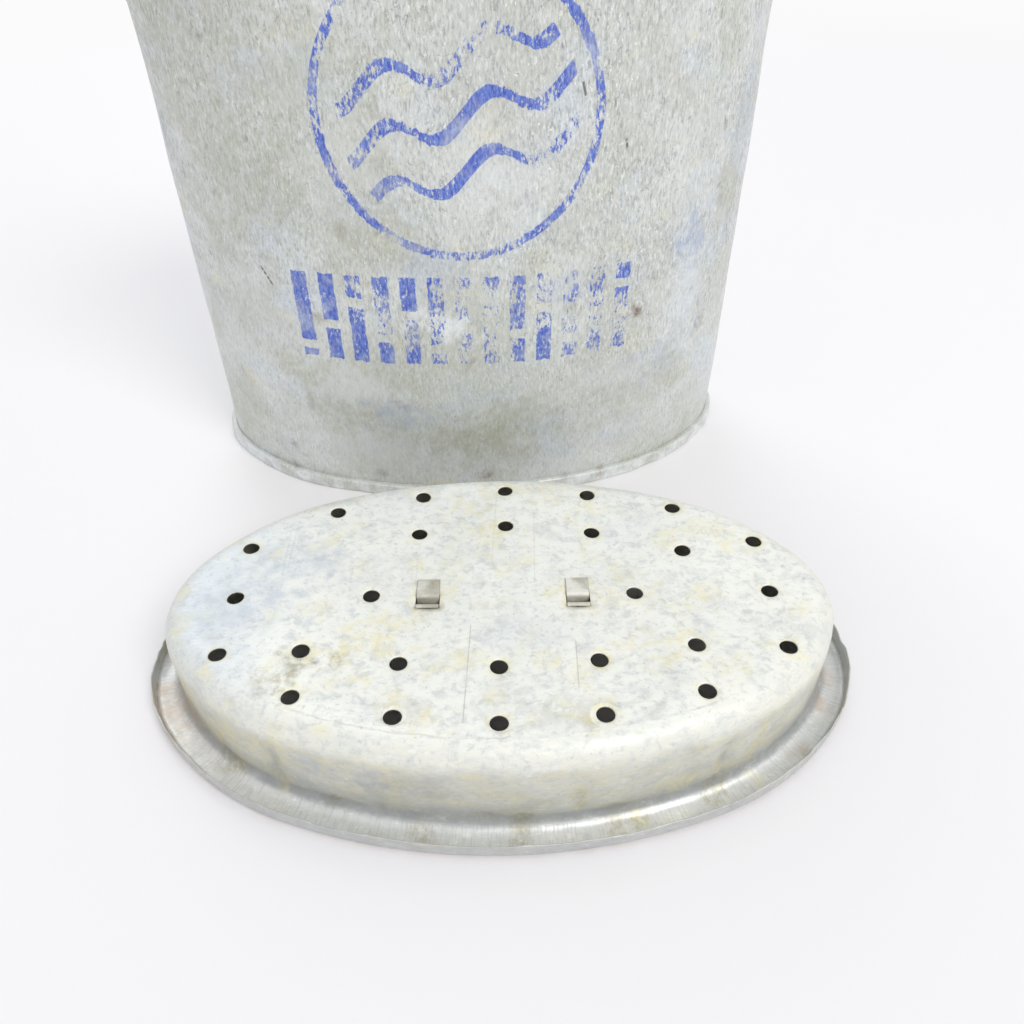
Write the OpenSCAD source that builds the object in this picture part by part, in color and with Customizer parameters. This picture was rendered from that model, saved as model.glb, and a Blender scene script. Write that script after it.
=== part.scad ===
// Oval galvanised bait bucket with its perforated, dished lid taken off.
// The lid lies upside down in front of the bucket, pan upwards.
// Every sheet-metal section is swept round an oval drawn with three radii, so all rims,
// beads and walls are true parallels of the body wall. Section points are written as
// [offset outwards from the wall's outer face, height].

/* [Body] */
// Length over the wall's outer face
body_l = 261; // [220:1:320]
// Width over the wall's outer face
body_w = 155; // [130:1:190]
// Height to the top of the rolled rim
body_h = 254; // [160:1:320]
// Thickness of the galvanised sheet
sheet = 0.6; // [0.4:0.05:0.8]
// Width of the lock seam down the back
lock_seam_w = 6; // [4:0.5:12]
// How far the lock seam stands proud of the wall
lock_seam_proud = 1.2; // [0.6:0.1:2]

/* [Bottom] */
// How far the bottom seam stands out from the wall
bead_out = 2.7; // [2.4:0.1:4]
// Height of the bottom seam
bead_h = 6.5; // [5:0.1:9]
// Outer corner radius of the bottom seam
bead_r = 1.2; // [0.9:0.1:1.6]
// Height of the bottom's top face above the ground
floor_top = 4; // [3:0.1:8]
// Bend radius at the edge of the bottom
floor_bend_r = 1.5; // [1:0.1:2.5]
// Gap left between folded sheets
fold_gap = 0.1; // [0.05:0.05:0.3]

/* [Rim] */
// Diameter of the wire inside the rolled rim
rim_wire_d = 3.2; // [2:0.1:5]
// Gap between the wire and the sheet rolled round it
rim_wire_gap = 0.05; // [0.02:0.01:0.2]

/* [Ears] */
// Thickness of the ears' sheet
ear_sheet = 1.2; // [0.8:0.1:2]
// Width of an ear round the wall
ear_w = 18; // [14:1:30]
// Height of each riveted foot of an ear
ear_foot_h = 7.5; // [7.5:0.5:12]
// Clear height inside the raised middle of an ear
ear_room_h = 12.6; // [11.5:0.1:20]
// Clear depth between the wall and the raised middle
ear_room = 6; // [5.6:0.1:10]
// Gap between an ear's feet and the wall
ear_seat_gap = 0.05; // [0.02:0.01:0.2]
// Gap between the top of an ear and the rolled rim
ear_rim_gap = 0.8; // [0.3:0.1:10]
// Rivet shank diameter
rivet_d = 3.5; // [2.5:0.1:5]
// Rivet head diameter
rivet_head_d = 6; // [5:0.1:6.2]
// Rivet head height
rivet_head_h = 1.5; // [1:0.1:2.5]
// Radial gap round a rivet shank
rivet_gap = 0.05; // [0.02:0.01:0.2]

/* [Bail] */
// Bail wire diameter
bail_d = 4; // [3:0.1:5]
// Radial gap of the bail wire in the ears
bail_gap = 0.5; // [0.3:0.1:1]
// Gap between the bail's hooked end and the wall
hook_wall_gap = 0.6; // [0.4:0.1:1.5]
// Centreline radius of the bend in the hooked end
hook_bend_r = 3; // [2.5:0.1:4]
// Reach of the hooked end from the pivot
hook_reach = 5; // [4:0.1:6]
// Gap between an ear and the bail's bend outside it
bail_side_gap = 0.4; // [0.3:0.1:3]
// Centreline radius of the bend outside an ear
bail_bend_r = 4; // [3:0.1:8]
// Straight length of the bail's arms, from the pivot
bail_arm = 10; // [6:1:60]
// Gap between the resting bail and the back of the body
bail_rest_gap = 0.3; // [0.2:0.1:1]

/* [Lid] */
// Height of the lid as it lies, from the ground to the pan's floor
lid_h = 38.4; // [25:0.1:60]
// How far the pan's wall lies inside the body wall's outer face
pan_inset = 5; // [2:0.1:10]
// Outer radius of the pan's shoulder
pan_shoulder_r = 9.5; // [6:0.5:12]
// Radius of the hollow between the pan's wall and the flange
flange_hollow_r = 5; // [3:0.5:8]
// How far the lip lies outside the body wall's outer face
lip_out = 6.7; // [6.2:0.1:12]
// Height of the lip
lip_h = 7; // [5:0.1:12]
// Outer bend radius at the foot of the lip
lip_bend_r = 2.5; // [1.5:0.1:4]

/* [Lid holes] */
// Diameter of the punched holes
hole_d = 6.35; // [4:0.05:9]
// Distance between the columns of holes
hole_pitch = 34.8; // [25:0.1:40]
// Distance from the middle to the end columns
hole_end_x = 100; // [80:0.5:110]
// Distance from the middle to the two holes beside the clips
hole_mid_x = 49.3; // [42:0.1:60]
// Shift of the end and middle holes to the right
hole_end_shift = 1; // [-3:0.1:3]
// Shift of the two back rows to the right
hole_back_shift = 2.2; // [-4:0.1:4]
// Shift of the two front rows to the right
hole_front_shift = -0.6; // [-4:0.1:4]
// Middle of the outer back row
row_back_y = 59.6; // [45:0.1:62]
// Middle of the inner back row
row_inner_back_y = 37; // [25:0.1:42]
// Middle of the inner front row, towards the front
row_inner_front_y = 35; // [25:0.1:42]
// Middle of the outer front row, towards the front
row_front_y = 58.1; // [45:0.1:62]
// How much nearer the middle the ends of the outer back row lie
row_back_bow = 12.6; // [8:0.1:16]
// How much nearer the middle the ends of the inner back row lie
row_inner_back_bow = 15.7; // [8:0.1:18]
// How much nearer the middle the ends of the inner front row lie
row_inner_front_bow = 8.2; // [4:0.1:12]
// How much nearer the middle the ends of the outer front row lie
row_front_bow = 11.3; // [8:0.1:16]
// Distance of the end columns' back hole from the middle
end_back_y = 26.1; // [20:0.1:30]
// Distance of the end columns' front hole from the middle
end_front_y = 28.2; // [20:0.1:30]
// Shift of the middle line of holes to the front
mid_line_drop = 0.9; // [-2:0.1:2]

/* [Lid handle] */
// Diameter of the handle's wire
grip_d = 2.6; // [2:0.1:3.5]
// Radial gap between the wire and its clips
grip_gap = 0.3; // [0.2:0.05:0.6]
// Width of the handle between the middles of its arms
grip_w = 76; // [60:1:120]
// Drop of the handle from its pivot
grip_drop = 26; // [16:0.5:40]
// Centreline radius of the handle's bends
grip_bend_r = 4; // [3:0.1:8]
// Length of each inturned end of the handle, from the arm's middle
grip_end = 18; // [15:0.5:25]
// Distance between the two clips
clip_pitch = 56; // [44:1:80]
// Width of a clip's strap
clip_w = 8.6; // [6:0.1:12]
// Thickness of a clip's strap
clip_sheet = 0.8; // [0.5:0.1:1.2]
// Length of a clip's long tab on the pan, beyond its bend
clip_tab = 7.5; // [4:0.1:12]
// Length of a clip's short tab on the pan, beyond its bend
clip_short_tab = 0.8; // [0.5:0.1:3]
// Inner radius of the bends in a clip
clip_bend_r = 0.6; // [0.4:0.1:1.2]
// Gap round a strap in its slot
slot_gap = 0.2; // [0.1:0.05:0.5]
// Shift of the clips to the right of the lid's middle
clip_shift_x = 0.9; // [-4:0.1:4]
// Shift of the clips towards the lid's front
clip_shift_y = 4; // [0:0.1:8]
// Gap between a clip's loop and the pan's inner face
clip_drop = 0.5; // [0.3:0.1:2]

/* [Layout] */
// Gap between the bucket's bottom seam and the lid, along the lid's short axis
lid_gap = 17.7; // [2:0.1:100]
// Sideways shift of the lid
lid_side = 5.2; // [-60:0.1:60]
// Turn of the lid against the bucket
lid_turn = -3.1; // [-20:0.1:20]

/* [Hidden] */
$fn = 64;
// Spare length of a cutting shape past each face it cuts
over = 2;

// The oval: end, middle and side arcs meet where their common normal stands at these angles.
// The angles belong to right triangles with the sides 3, 4, 5 and 44, 117, 125, so that every
// radius and centre is a short decimal and neighbouring arcs share their end faces exactly.
dir_a = [400, 300];
dir_b = [176, 468];
arc_a = atan2(dir_a[1], dir_a[0]);
arc_b = atan2(dir_b[1], dir_b[0]);
half_l = body_l / 2;
half_w = body_w / 2;
// An ellipse's end radius is half_w^2 / half_l; the arc that replaces it is a little larger
end_r_share = 1.05;
// The closing conditions leave one whole number free, arc_step, and it sets the end radius.
// Each of these lengths is added to its radius or centre once for every whole number.
end_r_step = 0.028;
mid_r_step = 0.036;
side_r_step = 0.125;
mid_x_step = side_r_step * dir_b[0] / norm(dir_b);
arc_step = round((end_r_share * half_w * half_w / half_l - 2 * half_w + half_l) / end_r_step);
end_r = 2 * half_w - half_l + end_r_step * arc_step;
mid_r = end_r + (half_l - half_w - mid_r_step * arc_step) * norm(dir_a) / (norm(dir_a) - dir_a[1]);
side_r = mid_r + side_r_step * arc_step;
end_c = half_l - end_r;
mid_c = [mid_x_step * arc_step, -(mid_r - end_r) * dir_a[1] / norm(dir_a)];
side_c = half_w - side_r;

// Rolled rim
roll_in = rim_wire_d / 2 + rim_wire_gap;
roll_out = roll_in + sheet;
roll_x = roll_in;
roll_z = body_h - roll_out;
// The roll stops this far round, short of touching the wall again
roll_open = 60;

// Ears, rivets and the bail's pivot
ear_room_top = roll_z - roll_out - ear_rim_gap - ear_foot_h;
pivot_z = ear_room_top - ear_room_h / 2;
ear_half_h = ear_room_h / 2 + ear_foot_h;
ear_outer = ear_room + ear_sheet;
ear_half_angle = asin(ear_w / 2 / end_r);
rivet_rise = ear_room_h / 2 + ear_foot_h / 2 + ear_sheet / 2;
rivet_seat_gap = 0.02;

// Bail, drawn standing up from its pivot and then laid back
hook_x = half_l + hook_wall_gap + bail_d / 2;
bail_x = half_l + ear_outer + bail_side_gap + bail_bend_r;
bail_reach = bail_arm + bail_x;
bail_rest_y = half_w + lock_seam_proud + bail_rest_gap + bail_d / 2;
bail_lean = asin(bail_rest_y / bail_reach);

// Lid
pan_x = -pan_inset;
pan_floor_z = lid_h - sheet;
hole_rows = [
    // middle of the row, drop towards its ends, shift, first and last column
    [row_back_y, row_back_bow, hole_back_shift, -2, 2],
    [row_inner_back_y, row_inner_back_bow, hole_back_shift, -1, 2],
    [-row_inner_front_y, -row_inner_front_bow, hole_front_shift, -2, 2],
    [-row_front_y, -row_front_bow, hole_front_shift, -2, 2]
];
end_hole_y = [end_back_y, -mid_line_drop, -end_front_y];

// Lid handle and its clips
loop_in = grip_d / 2 + grip_gap;
loop_out = loop_in + clip_sheet;
grip_z = pan_floor_z - clip_drop - loop_out;
slot_w = clip_w + 2 * slot_gap;
slot_d = 2 * (loop_out + clip_bend_r + slot_gap);

// Layout: the origin is the middle of the footprint on the ground
lid_y = -(half_w + bead_out + lid_gap + lip_out + half_w);
lid_reach = side_r + lip_out + side_c * cos(lid_turn);
front_y = lid_y - lid_reach;
back_y = bail_rest_y + bail_d / 2;
bucket_y = -(front_y + back_y) / 2;

// Point of the oval grown by off, where its normal stands at the angle a
function quarter_pt(a, off) =
    a <= arc_a ? [end_c + (end_r + off) * cos(a), (end_r + off) * sin(a)] :
    a <= arc_b ? mid_c + (mid_r + off) * [cos(a), sin(a)] :
    [(side_r + off) * cos(a), side_c + (side_r + off) * sin(a)];

function oval_pt(a, off) =
    let (p = quarter_pt(abs(asin(sin(a))), off))
    [cos(a) < 0 ? -p[0] : p[0], sin(a) < 0 ? -p[1] : p[1]];

// Sweeps a section about the point c, cut off square where the directions p and q leave c
module arc_sweep(c, r, p, q) {
    spare = 3;
    start = atan2(p[1], p[0]) - spare;
    translate([c[0], c[1], 0]) intersection() {
        rotate_extrude(angle = atan2(q[1], q[0]) + spare - start, start = start)
            translate([r, 0]) children();
        translate([0, 0, -over]) linear_extrude(body_h + 2 * over) polygon([[0, 0], p, q]);
    }
}

// Sweeps a section round the oval
module oval_sweep() {
    for (turn = [0, 180]) rotate([0, 0, turn]) {
        arc_sweep([end_c, 0], end_r, [dir_a[0], -dir_a[1]], dir_a) children();
        arc_sweep(mid_c, mid_r, dir_a, dir_b) children();
        arc_sweep([0, side_c], side_r, dir_b, [-dir_b[0], dir_b[1]]) children();
        arc_sweep([-mid_c[0], mid_c[1]], mid_r, [-dir_b[0], dir_b[1]], [-dir_a[0], dir_a[1]]) children();
    }
}

// Flat plate filling the oval grown by off, from the height z upwards
module oval_plate(off, z, h) {
    band_share = 0.6;
    core_share = 0.2;
    core_turns = [0, 18, 53, 80, 100, 127, 162];
    reach = end_r + off;
    band = band_share * reach;
    core_off = off - core_share * reach;
    oval_sweep() translate([off - band, z]) square([band, h]);
    translate([0, 0, z]) linear_extrude(h)
        polygon([for (half = [0, 180], a = core_turns) oval_pt(half + a, core_off)]);
}

// Quarter bend of sheet in a section: outer radius r, thickness t, turned to start at an angle
module bend(r, t, start) {
    rotate(start) intersection() {
        difference() {
            circle(r = r);
            circle(r = r - t);
        }
        square(r);
    }
}

// Quarter or longer bend of a wire, in the plane of X and Z, about the point [x, z]
module wire_bend(x, z, r, d, start, angle) {
    translate([x, 0, z]) rotate([90, 0, 0]) rotate([0, 0, start])
        rotate_extrude(angle = angle) translate([r, 0]) circle(d = d);
}

// Straight wire along X from x0 to x1
module wire_x(x0, x1, z, d) {
    translate([x0, 0, z]) rotate([0, 90, 0]) cylinder(d = d, h = x1 - x0);
}

// Straight wire along Z from z0 to z1
module wire_z(x, z0, z1, d) {
    translate([x, 0, z0]) cylinder(d = d, h = z1 - z0);
}

module bucket_place() {
    translate([0, bucket_y, 0]) children();
}

module lid_place() {
    translate([lid_side, bucket_y + lid_y, 0]) rotate([0, 0, lid_turn]) children();
}

// Wall section with the rolled rim above and the turned-out hook that the bottom folds round
module body_section() {
    hook_x0 = bead_out - 2 * sheet - fold_gap;
    hook_z0 = sheet + fold_gap;
    hook_z1 = bead_h - sheet - fold_gap;
    corner = 0.4;
    translate([-sheet, hook_z0]) square([sheet, roll_z - hook_z0]);
    polygon([
        [-sheet, hook_z0],
        [hook_x0 + sheet - corner, hook_z0],
        [hook_x0 + sheet, hook_z0 + corner],
        [hook_x0 + sheet, hook_z1 - corner],
        [hook_x0 + sheet - corner, hook_z1],
        [hook_x0, hook_z1],
        [hook_x0, hook_z0 + sheet],
        [-sheet, hook_z0 + sheet]
    ]);
    translate([roll_x, roll_z]) difference() {
        circle(r = roll_out);
        circle(r = roll_in);
        polygon([[0, 0], [-3 * roll_out, 0], [-3 * roll_out, -3 * roll_out * tan(roll_open)]]);
    }
}

module body() color([0.66, 0.68, 0.66]) bucket_place() {
    seam_half = asin(lock_seam_w / 2 / side_r);
    seam_clear = 1;
    seam_z0 = bead_h + seam_clear;
    seam_z1 = roll_z - roll_out - seam_clear;
    difference() {
        union() {
            oval_sweep() body_section();
            translate([0, side_c, 0]) rotate([0, 0, 90 - seam_half])
                rotate_extrude(angle = 2 * seam_half) translate([side_r - sheet / 2, seam_z0])
                    square([sheet / 2 + lock_seam_proud, seam_z1 - seam_z0]);
        }
        for (side = [0, 1], dz = [-rivet_rise, rivet_rise])
            mirror([side, 0, 0]) translate([0, 0, pivot_z + dz])
                wire_x(half_l - over, half_l + over, 0, rivet_d + 2 * rivet_gap);
    }
}

// Bottom with its edge turned down, out and up round the body's hook
module bottom_section() {
    wall_x = -sheet - fold_gap;
    translate([wall_x - floor_bend_r, floor_top - floor_bend_r]) bend(floor_bend_r, sheet, 0);
    translate([wall_x - sheet, 0]) square([sheet, floor_top - floor_bend_r]);
    translate([wall_x - sheet, 0]) square([bead_out - bead_r - wall_x + sheet, sheet]);
    translate([bead_out - bead_r, bead_r]) bend(bead_r, sheet, 270);
    translate([bead_out - sheet, bead_r]) square([sheet, bead_h - 2 * bead_r]);
    translate([bead_out - bead_r, bead_h - bead_r]) bend(bead_r, sheet, 0);
    translate([fold_gap, bead_h - sheet]) square([bead_out - bead_r - fold_gap, sheet]);
}

module bottom() color([0.62, 0.64, 0.60]) bucket_place() {
    oval_sweep() bottom_section();
    oval_plate(-sheet - fold_gap - floor_bend_r, floor_top - sheet, sheet);
}

module rim_wire() color([0.45, 0.42, 0.38]) bucket_place()
    oval_sweep() translate([roll_x, roll_z]) circle(d = rim_wire_d);

// Hat-shaped ear, curved with the end of the body
module ear(side) {
    foot_z = ear_half_h;
    room_z = ear_room_h / 2;
    bucket_place() mirror([side, 0, 0]) translate([0, 0, pivot_z]) difference() {
        translate([end_c, 0, 0]) rotate([0, 0, -ear_half_angle])
            rotate_extrude(angle = 2 * ear_half_angle) translate([end_r, 0]) polygon([
                [ear_seat_gap, -foot_z],
                [ear_seat_gap + ear_sheet, -foot_z],
                [ear_seat_gap + ear_sheet, -room_z - ear_sheet],
                [ear_outer, -room_z - ear_sheet],
                [ear_outer, room_z + ear_sheet],
                [ear_seat_gap + ear_sheet, room_z + ear_sheet],
                [ear_seat_gap + ear_sheet, foot_z],
                [ear_seat_gap, foot_z],
                [ear_seat_gap, room_z],
                [ear_room, room_z],
                [ear_room, -room_z],
                [ear_seat_gap, -room_z]
            ]);
        wire_x(half_l + ear_room - over, half_l + ear_outer + over, 0, bail_d + 2 * bail_gap);
        for (dz = [-rivet_rise, rivet_rise])
            wire_x(half_l - over, half_l + ear_sheet + over, dz, rivet_d + 2 * rivet_gap);
    }
}

module ear_left() color([0.50, 0.49, 0.46]) ear(1);
module ear_right() color([0.50, 0.49, 0.46]) ear(0);

// Rivet through an ear's foot and the wall, turned about its axis; the flat of each head stands
// on the curved sheet, the outer head at the top of the section
module rivet(side, rise) {
    dome_r = (rivet_head_d * rivet_head_d / 4 + rivet_head_h * rivet_head_h) / (2 * rivet_head_h);
    inner_r = end_r - sheet;
    inner_x = end_c + sqrt(inner_r * inner_r - rivet_head_d * rivet_head_d / 4) - rivet_seat_gap;
    grip = half_l + ear_seat_gap + ear_sheet + rivet_seat_gap - inner_x;
    bucket_place() mirror([side, 0, 0]) translate([inner_x, 0, pivot_z + rise])
        rotate([0, 90, 0]) rotate_extrude() {
            square([rivet_d / 2, grip]);
            for (end = [0, 1]) translate([0, end * grip]) mirror([0, 1 - end]) intersection() {
                translate([0, rivet_head_h - dome_r]) circle(r = dome_r);
                square(rivet_head_d);
            }
        }
}

module rivet_left_upper() color([0.58, 0.57, 0.54]) rivet(1, rivet_rise);
module rivet_left_lower() color([0.58, 0.57, 0.54]) rivet(1, -rivet_rise);
module rivet_right_upper() color([0.58, 0.57, 0.54]) rivet(0, rivet_rise);
module rivet_right_lower() color([0.58, 0.57, 0.54]) rivet(0, -rivet_rise);

module bail() color([0.42, 0.40, 0.37])
    bucket_place() translate([0, 0, pivot_z]) rotate([bail_lean - 180, 0, 0]) {
        for (side = [0, 1]) mirror([side, 0, 0]) {
            wire_z(hook_x, -hook_reach, -hook_bend_r, bail_d);
            wire_bend(hook_x + hook_bend_r, -hook_bend_r, hook_bend_r, bail_d, 90, 90);
            wire_x(hook_x + hook_bend_r, bail_x - bail_bend_r, 0, bail_d);
            wire_bend(bail_x - bail_bend_r, bail_bend_r, bail_bend_r, bail_d, 270, 90);
            wire_z(bail_x, bail_bend_r, bail_arm, bail_d);
        }
        wire_bend(0, bail_arm, bail_x, bail_d, 0, 180);
    }

// Lid section: shoulder, pan wall, hollow, flange and upturned lip
module lid_section() {
    flat_x0 = pan_x + flange_hollow_r;
    flat_x1 = lip_out - lip_bend_r;
    hollow_z = sheet + flange_hollow_r;
    translate([pan_x - pan_shoulder_r, lid_h - pan_shoulder_r]) bend(pan_shoulder_r, sheet, 0);
    translate([pan_x - sheet, hollow_z]) square([sheet, lid_h - pan_shoulder_r - hollow_z]);
    translate([flat_x0, hollow_z]) bend(flange_hollow_r + sheet, sheet, 180);
    translate([flat_x0, 0]) square([flat_x1 - flat_x0, sheet]);
    translate([flat_x1, lip_bend_r]) bend(lip_bend_r, sheet, 270);
    translate([lip_out - sheet, lip_bend_r]) square([sheet, lip_h - lip_bend_r]);
}

module lid_holes() {
    for (row = hole_rows, column = [row[3]:row[4]])
        translate([row[2] + column * hole_pitch, row[0] - row[1] * column * column / 4, pan_floor_z - over])
            cylinder(d = hole_d, h = sheet + 2 * over);
    for (side = [-1, 1]) {
        for (y = end_hole_y)
            translate([side * hole_end_x + hole_end_shift, y, pan_floor_z - over])
                cylinder(d = hole_d, h = sheet + 2 * over);
        translate([side * hole_mid_x + hole_end_shift, end_hole_y[1], pan_floor_z - over])
            cylinder(d = hole_d, h = sheet + 2 * over);
    }
}

module clip_place(side) {
    translate([clip_shift_x + side * clip_pitch / 2, -clip_shift_y, 0]) children();
}

module lid() color([0.76, 0.76, 0.74]) lid_place() difference() {
    union() {
        oval_sweep() lid_section();
        oval_plate(pan_x - pan_shoulder_r, pan_floor_z, sheet);
    }
    lid_holes();
    for (side = [-1, 1])
        clip_place(side) translate([-slot_w / 2, -slot_d / 2, pan_floor_z - over])
            cube([slot_w, slot_d, sheet + 2 * over]);
}

// Strap looped round the handle's wire, its ends through the slot and folded down on the pan
module clip(side) {
    leg_h = lid_h - clip_bend_r - grip_z;
    lid_place() clip_place(side) translate([-clip_w / 2, 0, 0])
        rotate([90, 0, 90]) linear_extrude(clip_w) {
            translate([0, grip_z]) difference() {
                circle(r = loop_out);
                circle(r = loop_in);
                translate([-loop_out - 1, 0]) square([2 * loop_out + 2, loop_out + 1]);
            }
            for (back = [0, 1]) mirror([1 - back, 0]) {
                tab = back == 1 ? clip_tab : clip_short_tab;
                translate([loop_in, grip_z]) square([clip_sheet, leg_h]);
                translate([loop_out + clip_bend_r, lid_h - clip_bend_r])
                    bend(clip_bend_r + clip_sheet, clip_sheet, 90);
                translate([loop_out + clip_bend_r, lid_h]) square([tab, clip_sheet]);
            }
        }
}

module lid_clip_left() color([0.55, 0.54, 0.50]) clip(-1);
module lid_clip_right() color([0.55, 0.54, 0.50]) clip(1);

module lid_handle() color([0.48, 0.46, 0.42])
    lid_place() translate([clip_shift_x, -clip_shift_y, grip_z]) {
        for (side = [0, 1]) mirror([side, 0, 0]) {
            wire_x(grip_w / 2 - grip_end, grip_w / 2 - grip_bend_r, 0, grip_d);
            wire_bend(grip_w / 2 - grip_bend_r, -grip_bend_r, grip_bend_r, grip_d, 0, 90);
            wire_z(grip_w / 2, grip_bend_r - grip_drop, -grip_bend_r, grip_d);
            wire_bend(grip_w / 2 - grip_bend_r, grip_bend_r - grip_drop, grip_bend_r, grip_d, 270, 90);
        }
        wire_x(grip_bend_r - grip_w / 2, grip_w / 2 - grip_bend_r, -grip_drop, grip_d);
    }

body();
bottom();
rim_wire();
ear_left();
ear_right();
rivet_left_upper();
rivet_left_lower();
rivet_right_upper();
rivet_right_lower();
bail();
lid();
lid_clip_left();
lid_clip_right();
lid_handle();
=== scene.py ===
"""Weathered oval bait bucket with its perforated lid lying upside down in front of it."""

import math

import bmesh
import bpy
import numpy as np
from mathutils import Matrix, Vector
from mathutils.geometry import delaunay_2d_cdt


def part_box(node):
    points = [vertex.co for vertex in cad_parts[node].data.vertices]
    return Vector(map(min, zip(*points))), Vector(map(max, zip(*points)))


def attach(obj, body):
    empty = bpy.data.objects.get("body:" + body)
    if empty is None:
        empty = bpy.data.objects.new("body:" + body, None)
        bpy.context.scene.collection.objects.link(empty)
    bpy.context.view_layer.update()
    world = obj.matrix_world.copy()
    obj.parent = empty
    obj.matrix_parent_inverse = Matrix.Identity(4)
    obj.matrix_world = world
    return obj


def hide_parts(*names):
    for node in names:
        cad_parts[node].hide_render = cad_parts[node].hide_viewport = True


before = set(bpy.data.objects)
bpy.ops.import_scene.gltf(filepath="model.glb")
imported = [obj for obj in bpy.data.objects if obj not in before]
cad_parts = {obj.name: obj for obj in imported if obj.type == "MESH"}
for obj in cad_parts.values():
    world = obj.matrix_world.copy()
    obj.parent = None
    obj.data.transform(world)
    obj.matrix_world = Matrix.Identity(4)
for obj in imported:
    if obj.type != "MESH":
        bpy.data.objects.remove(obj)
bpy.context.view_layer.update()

# ---------------------------------------------------------------- sizes, in metres
MM = 0.001
SHEET = 0.6 * MM

# Bucket: section sizes that part.scad also uses, its places read from the frame
BEAD_OUT = 2.7 * MM
BEAD_H = 6.5 * MM
BEAD_R = 1.2 * MM
FOLD_GAP = 0.1 * MM
FLOOR_TOP = 4 * MM
FLOOR_BEND_R = 1.5 * MM
SEAM_PROUD = 1.2 * MM
SEAM_W = 6 * MM
ROLL_IN = 1.65 * MM
ROLL_OUT = ROLL_IN + SHEET

# Lid
LID_H = 38.4 * MM
PAN_INSET = 5 * MM
SHOULDER_R = 9.5 * MM
HOLLOW_R = 5 * MM
LIP_OUT = 6.7 * MM
LIP_H = 7 * MM
LIP_BEND_R = 2.5 * MM
HOLE_R = 6.35 / 2 * MM
HOLE_PITCH = 34.8 * MM
CLIP_SHIFT = Vector((0.9, -4)) * MM
CLIP_PITCH = 56 * MM
SLOT_W = 9 * MM
SLOT_D = 6.4 * MM
LID_TURN = math.radians(-3.1)

foot_lo, foot_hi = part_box("bottom")
HALF_L = (foot_hi[0] - foot_lo[0]) / 2 - BEAD_OUT
HALF_W = (foot_hi[1] - foot_lo[1]) / 2 - BEAD_OUT
BODY_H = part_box("body")[1][2]
BUCKET_Y = (foot_lo[1] + foot_hi[1]) / 2
lid_lo, lid_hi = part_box("lid")
LID_X = (lid_lo[0] + lid_hi[0]) / 2
LID_Y = (lid_lo[1] + lid_hi[1]) / 2


# ---------------------------------------------------------------- the oval and its parallels
class Oval:
    """The body wall's outer face as tangent arcs. A parallel is the same arcs with an offset added.
    The closing conditions leave one whole number of steps free, as in part.scad."""

    ANGLE_A = math.atan2(3, 4)
    ANGLE_B = math.atan2(117, 44)
    END_R_SHARE = 1.05
    END_R_STEP, MID_R_STEP, SIDE_R_STEP = 0.028, 0.036, 0.125

    def __init__(self, half_l, half_w):
        wanted = self.END_R_SHARE * half_w * half_w / half_l
        step = round((wanted - 2 * half_w + half_l) / (self.END_R_STEP * MM)) * MM
        end_r = 2 * half_w - half_l + self.END_R_STEP * step
        mid_r = end_r + (half_l - half_w - self.MID_R_STEP * step) / 0.4
        side_r = mid_r + self.SIDE_R_STEP * step
        self.quarter = [
            (0, self.ANGLE_A, end_r, (half_l - end_r, 0)),
            (self.ANGLE_A, self.ANGLE_B, mid_r, (0.044 * step, -0.6 * (mid_r - end_r))),
            (self.ANGLE_B, math.pi / 2, side_r, (0, half_w - side_r)),
        ]

    def ring(self, count):
        """count places evenly spaced round the oval: their arcs' centres, radii, normals and lengths run."""
        runs = [(b - a) * r for a, b, r, _ in self.quarter]
        quarter_run = sum(runs)
        places = np.arange(count) * 4 * quarter_run / count
        centre, radius, angle = np.zeros((count, 2)), np.zeros(count), np.zeros(count)
        for i, s in enumerate(places):
            turn, left = divmod(s, quarter_run)
            back = turn % 2 == 1
            left = quarter_run - left if back else left
            for (a, b, r, c), run in zip(self.quarter, runs):
                if left <= run + 1e-12 or r == self.quarter[-1][2]:
                    a = a + left / r
                    break
                left -= run
            sx, sy = (-1 if turn in (1, 2) else 1), (-1 if turn >= 2 else 1)
            angle[i] = math.atan2(sy * math.sin(a), sx * math.cos(a))
            centre[i], radius[i] = (sx * c[0], sy * c[1]), r
        normal = np.stack([np.cos(angle), np.sin(angle)], 1)
        return centre, radius, normal, places

    def sweep(self, section, count, push=None):
        """A section of [offset, height] points swept round: an array [place, point, xyz]. push(xy, z) adds to
        the offset and may return a second array that is added to the height."""
        centre, radius, normal, _ = self.ring(count)
        off = np.broadcast_to(section[:, 0], (count, len(section))).copy()
        z = np.broadcast_to(section[:, 1], (count, len(section))).copy()
        flat = centre[:, None] + (radius[:, None] + off)[..., None] * normal[:, None]
        if push is not None:
            d_off, d_z = push(flat, z)
            off, z = off + d_off, z + d_z
            flat = centre[:, None] + (radius[:, None] + off)[..., None] * normal[:, None]
        return np.concatenate([flat, z[..., None]], 2)

    def measure(self, flat):
        """How far points lie outside the wall's outer face, and how far round it from its right end."""
        x, y = np.abs(flat[..., 0]), np.abs(flat[..., 1])
        out, run, gone = np.zeros(x.shape), np.zeros(x.shape), 0
        for a, b, r, c in self.quarter:
            turn = np.arctan2(y - c[1], x - c[0])
            here = (turn >= a - 1e-9) & ((turn <= b) | (r == self.quarter[-1][2]))
            out = np.where(here, np.hypot(x - c[0], y - c[1]) - r, out)
            run = np.where(here, gone + (turn - a) * r, run)
            gone += (b - a) * r
        run = np.where(flat[..., 0] < 0, 2 * gone - run, run)
        return out, np.where(flat[..., 1] < 0, 4 * gone - run, run)

    def offset(self, flat):
        return self.measure(flat)[0]


OVAL = Oval(HALF_L, HALF_W)


def line(p, q, step):
    """Points from p to q, q left out, no further apart than step."""
    p, q = np.array(p, float), np.array(q, float)
    n = max(1, math.ceil(np.linalg.norm(q - p) / step))
    return [tuple(p + (q - p) * i / n) for i in range(n)]


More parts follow.
